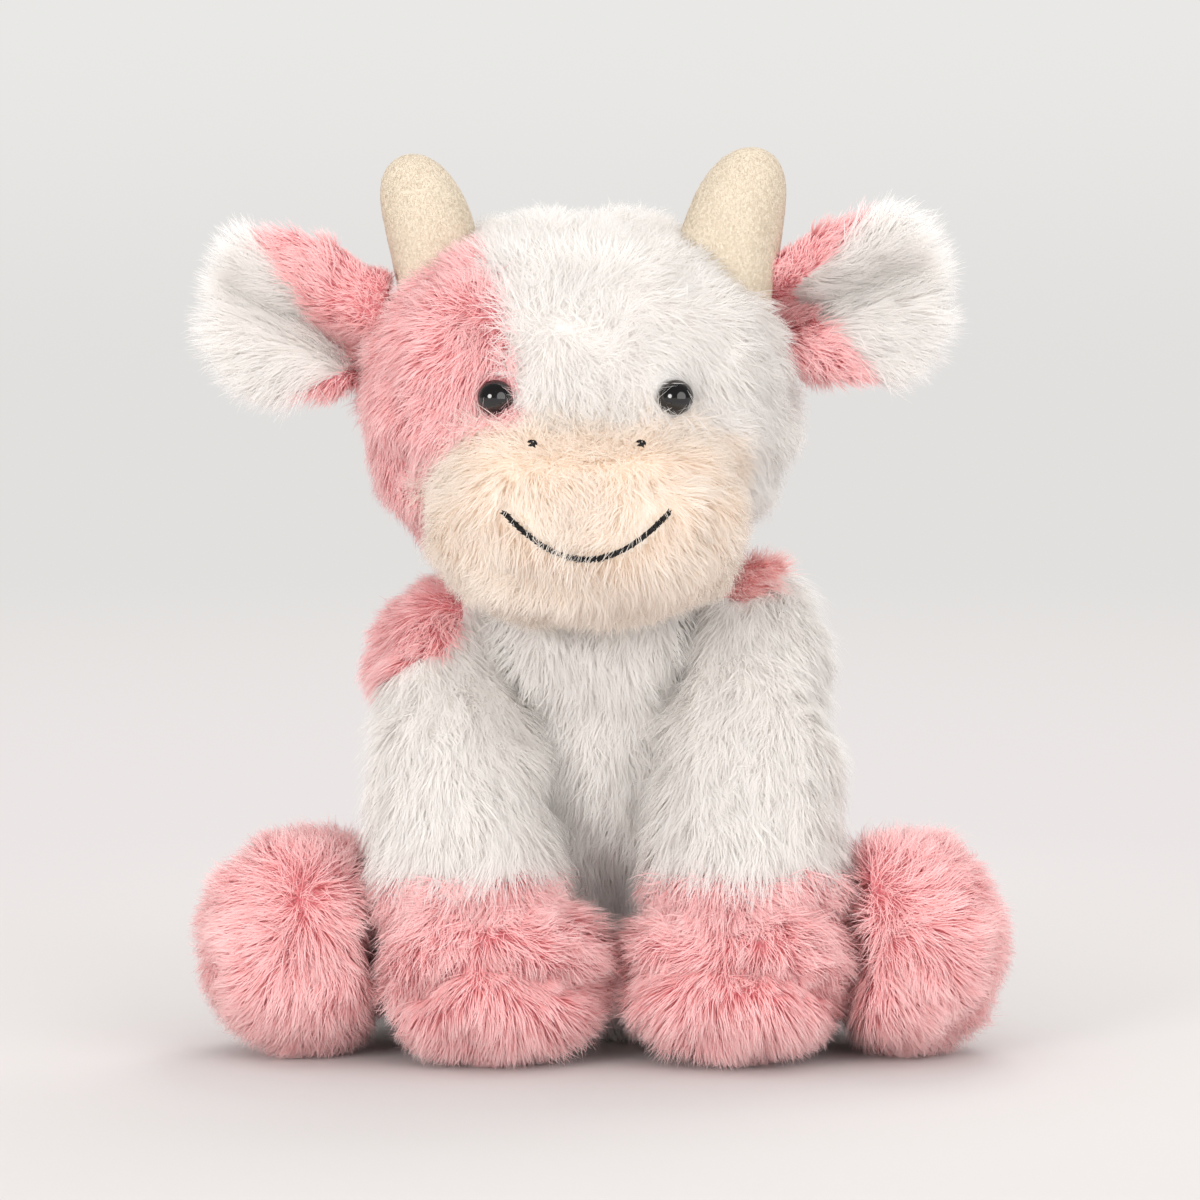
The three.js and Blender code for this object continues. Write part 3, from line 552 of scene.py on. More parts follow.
def growPile(name, pelt, colour, guides, length, seed, density=1.0, keep=None, trim=None, width=1.0, **looks):
    look = {**pile, **looks}
    maker = np.random.default_rng(seed)
    roots, outward = rootsOn(pelts[pelt], colour, density, maker)
    if keep:
        kept = keep(roots)
        roots, outward = roots[kept], outward[kept]
    count = len(roots)
    lengths = (length(roots / mm, outward) if callable(length) else np.full(count, length)) * mm
    lengths *= maker.uniform(*look["lengths"], count) * (1 + layered(roots, seed + 1, look["lengthWaves"]))
    floorNear = np.clip(roots[:, 2] / (look["floorReach"] * mm), 0, 1)
    lengths *= look["floorShare"] + (1 - look["floorShare"]) * floorNear
    flow, loose = combing(roots, outward, guides, look, seed)
    bend = look["swirl"] * layered(roots, seed + 2, look["swirlWaves"])
    bend += maker.normal(0, look["scatter"] + look["tangle"] * loose)
    flow = turnedAbout(flow, outward, np.radians(bend))
    low, high = look["rise"]
    lift = maker.normal(1, look["liftScatter"], count) * (1 + layered(roots, seed + 4, look["liftWaves"]))
    stand = look["stand"] * loose

    rings = look["rings"]
    line = np.zeros((rings + 1, count, 3))
    line[0] = roots
    for i in range(1, rings + 1):
        share = (i - 0.5) / rings
        angle = (low + (high - low) * share ** 0.7) * lift + stand * (0.5 + share)
        angle = np.radians(np.minimum(angle, 100))
        step = flow * np.cos(angle)[:, None] + outward * np.sin(angle)[:, None]
        line[i] = line[i - 1] + step * (lengths / rings)[:, None]
    gather(line, look, maker)

    if trim:
        kept = trim(line, maker)
        line, outward = line[:, kept], outward[kept]
        count = line.shape[1]
    ground = look["floorGap"] * mm + look["floorScatter"] * mm * maker.random(count)
    for i in range(rings + 1):
        line[i][:, 2] = np.maximum(line[i][:, 2], ground * (0.4 + 0.6 * i / rings))
    weave(name, line, outward, colour, pelts[pelt]["body"], width, maker)

def gather(line, look, maker):
    # strands gather into wisps round a leader
    roots = line[0]
    count, rings = len(roots), len(line) - 1
    leaders = maker.choice(count, max(1, count // look["clump"]), replace=False)
    tree = KDTree(len(leaders))
    for i, leader in enumerate(leaders):
        tree.insert(roots[leader], i)
    tree.balance()
    nearest = leaders[np.array([tree.find(p)[1] for p in roots])]
    pull = look["clumpPull"] * maker.uniform(*look["clumpPulls"], count)
    for i in range(1, rings + 1):
        line[i] += (line[i][nearest] - line[i]) * (pull * (i / rings) ** 1.3)[:, None]

def weave(name, line, outward, colour, body, width, maker):
    # every strand is a thin ribbon that tapers to its tip
    rings, count = len(line) - 1, line.shape[1]
    width = width * pile["width"] * mm * maker.uniform(*pile["widths"], count)
    twist = np.radians(maker.normal(0, pile["twist"], count))
    perStrand = 2 * rings + 1
    points = np.zeros((count, perStrand, 3))
    normals = np.zeros((count, perStrand, 3))
    for i in range(rings + 1):
        ahead = unit(line[min(i + 1, rings)] - line[max(i - 1, 0)])
        across = turnedAbout(unit(np.cross(ahead, outward)), ahead, twist)
        face = unit(np.cross(across, ahead))
        face = np.where((face * outward).sum(axis=1, keepdims=True) < 0, -face, face)
        soft = unit(outward + face * 0.3)
        half = (width * (1 - i / rings) ** pile["taper"] / 2)[:, None]
        for edge, way in enumerate((-1, 1) if i < rings else (0,)):
            points[:, 2 * i + edge] = line[i] + across * (way * half)
            normals[:, 2 * i + edge] = unit(soft + across * (way * pile["roundness"]))
    quads = [(2 * i, 2 * i + 1, 2 * i + 3, 2 * i + 2) for i in range(rings - 1)]
    loops = np.concatenate([*quads, (2 * rings - 2, 2 * rings - 1, 2 * rings)])
    strands = np.arange(count)[:, None]
    corner = (strands * perStrand + loops).ravel().astype(np.int32)
    heads = (strands * len(loops) + 4 * np.arange(rings)).ravel().astype(np.int32)
    mesh = bpy.data.meshes.new(name)
    mesh.vertices.add(count * perStrand)
    mesh.vertices.foreach_set("co", points.astype(np.float32).ravel())
    mesh.loops.add(len(corner))
    mesh.loops.foreach_set("vertex_index", corner)
    mesh.polygons.add(len(heads))
    mesh.polygons.foreach_set("loop_start", heads)
    mesh.update(calc_edges=True)
    strip = np.zeros((count, perStrand, 2))
    strip[:, :, 0] = (maker.random(count) * 0.99 + 0.002)[:, None]
    for i in range(rings + 1):
        strip[:, 2 * i:2 * i + 2, 1] = 0.01 + 0.98 * i / rings
        strip[:, 2 * i + 1:2 * i + 2, 0] += 0.004
    layer = mesh.uv_layers.new(name="OFBake")
    layer.uv.foreach_set("vector", strip.reshape(-1, 2)[corner].astype(np.float32).ravel())
    mesh.shade_smooth()
    mesh.normals_split_custom_set_from_vertices(normals.reshape(-1, 3).astype(np.float32))
    mesh.materials.append(strandMaterials[colour])
    piece = placed(name, mesh)
    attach(piece, body)
    print("pile", name, count, "strands")


# Which roots are left out: those well inside a neighbour

def isInside(tree, point):
    # a line from the point to the far left passes through the pelt an odd number of times
    start, way, odd = Vector(point), Vector((0.93, 0.31, 0.19)).normalized(), False
    for _ in range(12):
        hit = tree.ray_cast(start, way)[0]
        if hit is None:
            break
        start, odd = hit + way * 1e-6, not odd
    return odd

def clearOf(*names, depth=3):
    # depth in millimetres
    def keep(roots):
        kept = np.ones(len(roots), bool)
        for pelt in (pelts[name] for name in names):
            low, high = pelt["points"].min(axis=0), pelt["points"].max(axis=0)
            for i in np.where(((roots > low) & (roots < high)).all(axis=1) & kept)[0]:
                place, normal, _, gone = pelt["tree"].find_nearest(roots[i])
                if gone > depth * mm and (Vector(roots[i]) - place).dot(normal) < 0:
                    kept[i] = not isInside(pelt["tree"], roots[i])
        return kept
    return keep


# Body, limbs and tail: where each colour lies

def inPolygon(x, z, outline):
    inside = np.zeros(len(x), bool)
    for (ax, az), (bx, bz) in zip(outline, outline[1:] + outline[:1]):
        edge = (bx - ax) * (z - az) / (bz - az + 1e-12) + ax
        inside ^= ((az > z) != (bz > z)) & (x < edge)
    return inside

headForm = {
    # outlines and edge: x and z in millimetres, seen from the front
    "muzzle": [
        (-49, 146), (-49, 162), (-44, 170), (-35, 175), (-23, 177), (-5, 178), (11, 179), (25, 177),
        (35, 173), (41, 164), (43, 150), (42, 139), (35, 128), (24, 120), (5, 116), (-12, 116),
        (-28, 120), (-42, 130),
    ],
    "muzzleBack": -38,
    # the patch's edge is drawn along a given line from here to the front, to the left and up
    "handFrom": (-60, -20, 150),
    "waver": (0.8, 9),  # how far and over what length the edge wavers
    "patchEdge": [
        (-22, 160), (-22, 178), (-25, 186), (-25, 196), (-27, 205), (-29, 213), (-33, 225), (-34, 240),
    ],
    "dents": [
        # fuller upper corners and top of the muzzle
        ([(-40, -52, 170), (-22, -60, 176)], -4.0, 9.0),
        ([(33, -55, 171), (14, -60, 177)], -4.0, 9.0),
        # the crown is nearly flat between the horns
        ([(8, -8, 229), (22, -8, 226)], -3.0, 11.0),
        ([(-20, -8, 229), (-33, -8, 226)], -2.5, 11.0),
    ],
}

def headColours(places, colours):
    # the patch's edge is drawn along a given line in front and follows the CAD's seam elsewhere
    x, y, z = places.T
    edgeX, edgeZ = np.array(headForm["patchEdge"]).T
    right, back, low = headForm["handFrom"]
    height, size = headForm["waver"]
    inFront = (y < back) & (z > low) & (x > right)
    byHand = x < np.interp(z, edgeZ, edgeX) + height * waves(places, size, 6)
    pink = np.where(inFront, byHand, colours == "pink")
    colours[:] = np.where(pink, "pink", "white")
    colours[inPolygon(x, z, headForm["muzzle"]) & (y < headForm["muzzleBack"])] = "peach"

arms = {
    # patch: x and z in millimetres, seen from the front
    "left": {
        "patch": [(30, 150), (34, 126), (40, 125), (48, 128), (51, 132), (46, 150)],
        # the patch takes the paler copy of the pink, painted light against the head's shade
        "patchColour": "blush",
        "crease": [(6, -70, 25.6), (18, -82, 30), (31.5, -87, 31.1), (50, -82, 27), (64.9, -70, 18.7)],
        "smallCrease": ([(22, -80, 38), (38, -82, 40)], 3.0, 5.0),
        "shoulder": ([(42, -8, 130), (49, -6, 129)], -6.0, 9.0),
        "pawMiddle": (37.8, -63),
    },
    "right": {
        "patch": [
            (-80, 84), (-66, 92), (-60, 104), (-52, 109.5), (-45, 111), (-41, 118), (-38, 128), (-44, 142),
            (-80, 142),
        ],
        "patchColour": "pink",
        "crease": [(-61, -75, 16.8), (-50, -82, 23), (-36, -87, 33.9), (-18, -82, 27), (-0.9, -70, 21.5)],
        "smallCrease": ([(-36, -87, 33.9), (-34, -78, 44)], 3.0, 4.0),
        "shoulder": ([(-56, -18, 128), (-64, -18, 120)], 3.2, 12.0),
        "pawMiddle": (-30.3, -63),
    },
}
armForm = {
    "pawHeight": 54, "patchBack": 14, "creaseDepth": 7.5, "creaseWidth": 4.5, "creaseBack": -45,
    "shoulderLow": 75,  # the patch on the shoulder lies above this height, the paw below it
    "waver": (1.2, 18),  # how far and over what length the paw's edge wavers
    "pawPile": 11, "creasePile": 0.45, "creaseReach": 9,
    "innerPile": 1.4, "innerFacing": 0.3, "innerBack": -20,
}
legs = {
    "left": {"dimple": ([(74, -75, 43), (70, -76, 30)], 5.0, 7.0), "footMiddle": (82, -47)},
    "right": {"dimple": ([(-88.1, -75, 38.8), (-84, -76, 30)], 4.0, 7.0), "footMiddle": (-82, -47)},
}

def armColours(arm):
    def recolour(places, colours):
        x, y, z = places.T
        height, size = armForm["waver"]
        patch = inPolygon(x, z, arm["patch"]) & (y < armForm["patchBack"])
        paw = z < armForm["pawHeight"] + height * waves(places, size, 5)
        colours[:] = np.where(paw, "pink", "white")
        colours[patch] = arm["patchColour"]
    return recolour

def sewArm(side):
    arm = arms[side]
    skins = [part + side for part in ("sleeve_", "shoulder_patch_", "paw_", "paw_sole_")]
    crease = (arm["crease"], armForm["creaseDepth"], armForm["creaseWidth"])
    sewPelt("arm_pelt_" + side, "arm_" + side, skins, ["arm_stuffing_" + side],
        dents=[crease, arm["smallCrease"], arm["shoulder"]],
        recolour=armColours(arm), tuck=arm["pawMiddle"], voxel=2.0)

def sewLeg(side):
    sewPelt("leg_pelt_" + side, "leg_" + side, ["leg_" + side, "foot_" + side], ["leg_stuffing_" + side],
        dents=[legs[side]["dimple"]], tuck=legs[side]["footMiddle"])

sewPelt("torso_pelt", "torso", ["torso_skin", "back_patch"], ["torso_stuffing"],
    dents=[([(3, -48, 4), (3, -48, 44)], 9.0, 15.0)])
sewPelt("head_pelt", "head", ["head_skin", "face_patch", "muzzle_skin"], ["head_stuffing"],
    dents=headForm["dents"], recolour=headColours, voxel=2.0, sink=3.2)
for side in ("left", "right"):
    sewArm(side)
    sewLeg(side)
sewPelt("tail_pelt", "tail", ["tail", "tail_tuft"], [], voxel=1.5, passes=12, sink=2.0)


# Ears: a folded leaf with a crease, its pink outside turned over to the front at the root

ears = {
    # folds: a point of the fold's edge and its slope; crease: its height at the root and its slope
    "left": {
        "root": (50.1, -6, 203), "sign": 1,
        "topFold": (2, 9, 0.95), "lowFold": (5.8, 7, -1.0), "crease": (3.5, 0.28),
    },
    "right": {
        "root": (-66.1, -6, 198.8), "sign": -1,
        "topFold": (7.4, -3.5, 1.4), "lowFold": (5, -7.7, -0.43), "crease": (-5, 0.48),
    },
}
earForm = {
    # along the ear: share, lower and upper edge from the root
    "rows": [(0, -9, 19), (0.2, -13, 25), (0.5, -15, 30), (0.75, -13, 29.5), (0.92, -7, 24), (1, 1, 16)],
    "start": -5, "length": 43, "thickness": 5,
    "back": -1, "shift": 6, "cup": 14, "cupShares": (0.4, 1.15), "cupLength": 60, "creaseWidth": 6.5,
    "grid": 34, "voxel": 1.5, "passes": 10, "fill": 0.3,
    "pile": 8.5, "rimPile": 0.35, "rimReach": 12,
    # next to the horn, nearer to the root and higher than this, the pile is shorter
    "hornPile": 0.5, "hornNear": 9, "hornOver": 6,
    "backFrom": 14, "backFacing": -0.2,
}

def earEdges(reach):
    share = np.clip(reach / earForm["length"], 0, 1)
    shares, low, high = np.array(earForm["rows"]).T
    return np.interp(share, shares, low), np.interp(share, shares, high)

def earPlace(ear, places):
    # distances along and above the ear's root
    root = np.array(ear["root"])
    return (places[:, 0] - root[0]) * ear["sign"], places[:, 2] - root[2]

def quadFaces(a, b, c, d):
    # two triangles for each four points, given as grids of their numbers
    return [np.stack([grid.ravel() for grid in corner], axis=1) for corner in ((a, b, c), (a, c, d))]

def sewEar(side):
    ear, n, thick = ears[side], earForm["grid"], earForm["thickness"]
    reach, v = np.meshgrid(
        np.linspace(earForm["start"], earForm["length"], n), np.linspace(-1, 1, n), indexing="ij")
    low, high = earEdges(reach)
    z = (low + high) / 2 + v * (high - low) / 2
    start, slope = ear["crease"]
    valley = np.exp(-(((z - start - slope * reach) / earForm["creaseWidth"]) ** 2))
    least, most = earForm["cupShares"]
    cup = earForm["cup"] * (1 - valley) * np.clip(most - reach / earForm["cupLength"], least, 1)
    front = earForm["back"] - thick - cup
    rootX, rootY, rootZ = ear["root"]
    x, z = rootX + ear["sign"] * reach, rootZ + z
    sheets = [np.stack([x, y + earForm["shift"] + rootY, z], axis=-1) for y in (front, front + thick)]
    index = np.arange(n * n).reshape(n, n)
    faces = quadFaces(index[:-1, :-1], index[1:, :-1], index[1:, 1:], index[:-1, 1:])
    faces += [corner[:, ::-1] + n * n for corner in faces]
    edge = np.concatenate([index[:, 0], index[-1, 1:], index[-2::-1, -1], index[0, -2:0:-1]])
    after = np.roll(edge, -1)
    faces += quadFaces(edge, edge + n * n, after + n * n, after)
    faces = np.concatenate(faces)[:, ::-ear["sign"]]
    points = np.concatenate([sheet.reshape(-1, 3) for sheet in sheets]) * mm
    points, faces = largestIsland(*remeshed(points, faces, earForm["voxel"]))
    points = smoothed(points, faces, earForm["passes"])
    along, above = earPlace(ear, points[faces].mean(axis=1) / mm)
    topX, topZ, topSlope = ear["topFold"]
    lowX, lowZ, lowSlope = ear["lowFold"]
    folded = (above > topZ + (along - topX) * topSlope) | (above < lowZ + (along - lowX) * lowSlope)
    lining = (unit(faceNormals(points, faces))[:, 1] < 0.35) & ~folded
    keepPelt(
        "ear_pelt_" + side, "ear_" + side, points, faces, np.where(lining, "white", "pink"),
        [f"ear_{side}_outer", f"ear_{side}_lining"])

for side in ears:
    sewEar(side)


# Horns: cream velour over a firm filling

horns = {
    "left": {"root": (33.3, -14.5, 210), "lean": 14.5, "sign": 1, "wide": 1.12, "length": 45, "wrinkles": []},
    "right": {
        "root": (-45.5, -14.5, 210), "lean": 15, "sign": -1, "wide": 0.97, "length": 43,
        "wrinkles": [
            [(-58.5, -24, 244.5), (-54.5, -25.5, 246), (-51.5, -25, 247.5)],
            [(-56, -24.5, 241.5), (-50, -26, 242.5)],
        ],
    },
}
hornForm = {
    # share of the length and radius
    "rows": [
        (-0.3, 12.2), (0, 12.9), (0.3, 13), (0.5, 12.7), (0.65, 12), (0.78, 10.7), (0.88, 8.7), (0.95, 6),
        (0.985, 3.2), (1, 0.4),
    ],
    "bend": 1.6, "around": 56, "along": 60, "voxel": 1.1, "passes": 14,
    "lumps": [(0.18, 18), (0.02, 5)], "wrinkle": (0.8, 0.9), "fill": 0.9,
}

def sewHorn(side):
    horn = horns[side]
    n, m = hornForm["along"], hornForm["around"]
    lean = math.radians(horn["lean"]) * horn["sign"]
    up = np.array([math.sin(lean), 0, math.cos(lean)])
    out = np.array([math.cos(lean), 0, -math.sin(lean)])
    # the rings start inside the head and get closer towards the tip
    shares = 1 - (1 - np.linspace(0, 1, n)) ** 1.6
    shares = -0.3 + 1.3 * shares
    radii = np.interp(shares, *np.array(hornForm["rows"]).T)
    radii = radii * (1 + (horn["wide"] - 1) * np.clip(1.3 - shares, 0, 1))
    angles = np.linspace(0, 2 * math.pi, m, endpoint=False)
    ring = np.outer(np.cos(angles), out) + np.outer(np.sin(angles), (0, 1, 0))
    points = []
    for share, radius in zip(shares, radii):
        sway = horn["sign"] * hornForm["bend"] * math.sin(math.pi * np.clip(share, 0, 1))
        middle = np.array(horn["root"]) + up * horn["length"] * share - out * sway
        points.append(middle + ring * radius)
    points = np.concatenate(points) * mm
    index = np.arange(n * m).reshape(n, m)
    near, far = index[:-1], index[1:]
    faces = quadFaces(near, np.roll(near, -1, axis=1), np.roll(far, -1, axis=1), far)
    for row, flip in ((index[0], True), (index[-1], False)):
        fan = np.array([(row[0], row[i], row[i + 1]) for i in range(1, m - 1)])
        faces.append(fan[:, ::-1] if flip else fan)
    points, faces = remeshed(points, np.concatenate(faces), hornForm["voxel"])
    points = smoothed(points, faces, hornForm["passes"])
    normals = vertexNormals(points, faces)
    points = points + normals * (layered(points, 81, hornForm["lumps"]) * mm)[:, None]
    for line in horn["wrinkles"]:
        points = dented(points, normals, line, *hornForm["wrinkle"])
    keepPelt(
        "horn_pelt_" + side, "head", points, faces, np.full(len(faces), "cream"),
        ["horn_" + side, "horn_stuffing_" + side])
    growPile("horn_nap_" + side, "horn_pelt_" + side, "cream", downwards((0, 0, 230, 0, 0, -1)), 0.8, 71,
        density=3.0, width=0.45, rise=(12, 5), scatter=5, swirl=3, clumpPull=0.0, keep=clearOf("head_pelt"))

for side in horns:
    sewHorn(side)


# Face: glossy eyes, nostrils of a few stitches, and a smile in slanted stitches

eyes = {"left": (19.8, -57.4, 183.5), "right": (-29.6, -58.4, 183.5)}
eyeHalf = (5.0, 4.9, 4.9)
nostrils = {"left": (10.2, -74.2, 171.3), "right": (-19.2, -74.2, 171.3)}
nostrilForm = {
    # each stitch: its two ends, from the middle of the nostril
    "stitches": [
        ((-1.2, 0, 0.5), (0.2, -0.3, 0.9)),
        ((-0.9, -0.2, -0.5), (1.1, -0.3, 0.2)),
        ((-0.3, -0.5, 0.6), (0.7, -0.4, -0.9)),
        ((0.5, -0.1, 0.9), (1.2, -0.1, -0.2)),
    ],
    "radius": 0.42,
}
smile = {
    "ends": (-27.0, 18.0), "high": 153.2, "low": 140.4, "curve": 1.9, "raised": 0.4,
    "stitches": 40, "slant": 36, "slantScatter": 4, "half": 1.25, "halves": (0.85, 1.1), "radius": 0.36,
    "core": 0.72, "coreBack": 0.45,
}

def grainedMaterial(name, colour, other, size, roughness, specular, depth=0):
    # two colours in a fine grain, raised by depth millimetres
    material, tree, shader = newMaterial(name, {"Roughness": roughness, "Specular IOR Level": specular})
    grain = noise(tree, size)
    share = between(tree, grain, (0.35, 0.7))
    setInputs(tree, shader, {"Base Color": blendColours(tree, share, srgb(*colour), srgb(*other))})
    if depth:
        setInputs(tree, shader, {"Normal": bumps(tree, grain, 0.6, depth * mm)})
    return material

eyeMaterial = grainedMaterial("black eye plastic", (9, 8, 9), (15, 13, 13), 60, 0.08, 0.75)
threadMaterial = grainedMaterial("black thread", (13, 12, 13), (40, 38, 38), 2500, 0.6, 0.25, depth=0.1)
washerMaterial = grainedMaterial("washer plastic", (225, 224, 220), (214, 213, 208), 150, 0.45, 0.5)

def addPiece(name, points, faces, material, slot, replaced):
    mesh = bpy.data.meshes.new(name)
    mesh.from_pydata(points.tolist(), [], faces)
    mesh.shade_smooth()
    mesh.materials.append(material)
    piece = placed(name, mesh)
    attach(piece, "head")
    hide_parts(replaced)

def capped(start, circles, end, flip=False):
    # circles of points between two tips, closed to one skin
    around = len(circles[0])
    points = np.concatenate([[start], *circles, [end]]) * mm
    last, lastCircle = len(points) - 1, len(points) - 1 - around
    pairs = [(j, (j + 1) % around) for j in range(around)]
    faces = [(0, 1 + j, 1 + k) for j, k in pairs]
    for i in range(1, lastCircle, around):
        faces += [(i + j, i + j + around, i + k + around, i + k) for j, k in pairs]
    faces += [(last, lastCircle + k, lastCircle + j) for j, k in pairs]
    if flip:
        faces = [(face[0], *face[:0:-1]) for face in faces]
    return points, faces

def ball(centre, half, rings=24, around=36):
    centre, half = np.array(centre), np.array(half)
    spins = 2 * math.pi * np.arange(around) / around
    circles = []
    for turn in math.pi * np.arange(1, rings) / rings:
        wide, deep = math.sin(turn), np.full(around, -math.cos(turn))
        circles.append(centre + half * np.stack([wide * np.cos(spins), deep, wide * np.sin(spins)], axis=1))
    tip = np.array([0, half[1], 0])
    return capped(centre - tip, circles, centre + tip)

def thread(a, b, radius, sides=8, rings=7):
    # one stitch: a thread between two places, rounded at both ends
    a, b = np.array(a, float), np.array(b, float)
    way = unit(b - a)
    side = unit(np.cross(way, (0.3, 1, 0.2)))
    spins = 2 * math.pi * np.arange(sides) / sides
    circle = np.outer(np.cos(spins), side) + np.outer(np.sin(spins), np.cross(way, side))
    circles = []
    for share in np.linspace(0, 1, rings):
        wide = radius * (1 - abs(2 * share - 1) ** 4 * 0.6)
        circles.append(a + (b - a) * share + circle * wide)
    tip = way * radius * 0.9
    return capped(a - tip, circles, b + tip, flip=True)

def bundled(parts):
    points, faces, start = [], [], 0
    for some, others in parts:
        points.append(some)
        faces += [tuple(i + start for i in face) for face in others]
        start += len(some)
    return np.concatenate(points), faces

muzzleTree = searchTree(*joinedNodes(["muzzle_skin"])[:2])
farInFront = -200

def smileAt(share):
    # share from 0 at the left end of the picture to 1 at the right end
    left, right = smile["ends"]
    x = left + (right - left) * share
    z = smile["low"] + (smile["high"] - smile["low"]) * abs(2 * share - 1) ** smile["curve"]
    hit = muzzleTree.ray_cast(Vector((x, farInFront, z)) * mm, Vector((0, 1, 0)))[0]
    return np.array([x, hit.y / mm - smile["raised"], z])

smilePath = np.array([smileAt(i / 40) for i in range(41)])

def addSmile():
    parts = []
    maker = np.random.default_rng(91)
    for i in range(smile["stitches"]):
        share = (i + 0.5) / smile["stitches"]
        place = smileAt(share)
        along = smileAt(min(share + 0.01, 1)) - smileAt(max(share - 0.01, 0))
        slant = smile["slant"] + maker.normal(0, smile["slantScatter"])
        turn = math.atan2(along[2], along[0]) + math.radians(slant)
        way = np.array([math.cos(turn), 0, math.sin(turn)]) * smile["half"] * maker.uniform(*smile["halves"])
        parts.append(thread(place - way, place + way, smile["radius"]))
    core = smilePath + (0, smile["coreBack"], 0)
    parts += [thread(a, b, smile["core"]) for a, b in zip(core[:-1], core[1:])]
    addPiece("smile_stitches", *bundled(parts), threadMaterial, "black_thread", "smile")

for side, place in eyes.items():
    addPiece("eye_dome_" + side, *ball(place, eyeHalf), eyeMaterial, "eye_plastic", "eye_" + side)
    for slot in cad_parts["eye_washer_" + side].material_slots:
        slot.link = "OBJECT"
        slot.material = washerMaterial
for side, place in nostrils.items():
    ends = np.array(place) + np.array(nostrilForm["stitches"])
    made = bundled([thread(a, b, nostrilForm["radius"]) for a, b in ends])
    addPiece("nostril_stitches_" + side, *made, threadMaterial, "black_thread", "nostril_" + side)
addSmile()
print("face ready")

trimForm = {
    # reaches in millimetres, and the share of the strands that stay
    "front": -40,
    "eye": (4.6, 0.05), "lowerEye": (1.5, 0.16), "nostril": (1.1, 0.45),
    "smile": (1.3, 0.14), "smileMiddle": (-10, 8, 0.55),
}
seenFromFront = np.array([1, 0, 1])

def across(points, place):
    # distance from a place of the face, seen from the front
    return np.linalg.norm((points - np.array(place) * mm) * seenFromFront, axis=1)

def faceTrim(line, maker):
    # few strands are left across the eyes, the nostrils and the smile
    kept = np.ones(line.shape[1], bool)
    chance = maker.random(line.shape[1])
    eyeReach, eyeStay = trimForm["eye"]
    lower, lowerStay = trimForm["lowerEye"]
    nostrilReach, nostrilStay = trimForm["nostril"]
    smileReach, smileStay = trimForm["smile"]
    middle, middleReach, middleStay = trimForm["smileMiddle"]
    for points in [*line, *((line[:-1] + line[1:]) / 2)]:
        ahead = points[:, 1] < trimForm["front"] * mm
        for place in eyes.values():
            stay = np.where(points[:, 2] < (place[2] - lower) * mm, lowerStay, eyeStay)
            kept &= ~(ahead & (across(points, place) < eyeReach * mm) & (chance > stay))
        for place in nostrils.values():
            kept &= ~(ahead & (across(points, place) < nostrilReach * mm) & (chance > nostrilStay))
        gone = distanceToLine(points * seenFromFront, smilePath * mm * seenFromFront)
        stay = smileStay + middleStay * np.exp(-(((points[:, 0] / mm - middle) / middleReach) ** 2))
        kept &= ~(ahead & (gone < smileReach * mm) & (chance > stay))
    return kept


# Some hairs of the face lie across the lower half of each eye

eyeHairs = {
    # rim: the part of the eye's edge that the hairs come from, in degrees
    "left": {"colour": "white", "count": 22, "rim": (150, 350), "seed": 61},
    "right": {"colour": "pink", "count": 16, "rim": (225, 400), "seed": 62},
}
hairForm = {
    # radii in millimetres from the middle of the eye, chords in degrees
    "roots": (5.2, 6.2), "start": 5.6, "end": 4.2, "chord": (30, 110), "reach": (0.35, 0.95),
    "raised": 0.25, "width": 0.42, "rings": 4,
}

def addEyeHairs(side):
    hairs = eyeHairs[side]
    count, rings = hairs["count"], hairForm["rings"]
    maker = np.random.default_rng(hairs["seed"])
    turns = np.radians(maker.uniform(*hairs["rim"], count))
    ends = turns + np.radians(maker.choice((-1, 1), count) * maker.uniform(*hairForm["chord"], count))
    reaches = maker.uniform(*hairForm["reach"], count)
    radii = np.full((rings + 1, 1, count), hairForm["start"])
    radii[0] = maker.uniform(*hairForm["roots"], count)
    starts = radii * np.stack([np.cos(turns), np.sin(turns)])
    ends = hairForm["end"] * np.stack([np.cos(ends), np.sin(ends)])
    shares = np.linspace(0, 1, rings + 1)[:, None, None] * reaches
    x, z = np.moveaxis(starts + (ends - starts) * shares, 1, 0)
    wide, deep, high = eyeHalf
    bulge = 1 - (x / wide) ** 2 - (z / high) ** 2
    depth = deep * np.sqrt(np.maximum(bulge, 0.02)) + hairForm["raised"]
    line = np.array(eyes[side]) + np.stack([x, -depth, z], axis=-1)
    outward = np.tile((0.0, -1.0, 0.0), (count, 1))
    weave("eye_hairs_" + side, line * mm, outward, hairs["colour"], "head", hairForm["width"], maker)

for side in eyeHairs:
    addEyeHairs(side)


# Pile: how the nap lies on each piece

growPile("torso_pile_white", "torso_pelt", "white",
    downwards((0, -44, 70, 0, -0.1, -1), (0, 44, 70, 0, 0.1, -1)), 12, 11, density=0.62, width=1.2,
    keep=clearOf("head_pelt", "arm_pelt_left", "arm_pelt_right", "leg_pelt_left", "leg_pelt_right", depth=6))
growPile("torso_pile_pink", "torso_pelt", "pink",
    downwards((0, 44, 100, 0, 0.1, -1)), 12, 12, density=0.7, width=1.2, keep=clearOf("head_pelt"))

muzzlePile = {"length": 10.5, "more": 3.5, "middle": (-5, 138), "wide": 24, "high": 7}

def muzzleLength(places, outward):
    # longest under the smile
    x, z = muzzlePile["middle"]
    acrossShare = (places[:, 0] - x) / muzzlePile["wide"]
    upShare = (places[:, 2] - z) / muzzlePile["high"]
    return muzzlePile["length"] + muzzlePile["more"] * np.exp(-(upShare ** 2) - acrossShare ** 2)

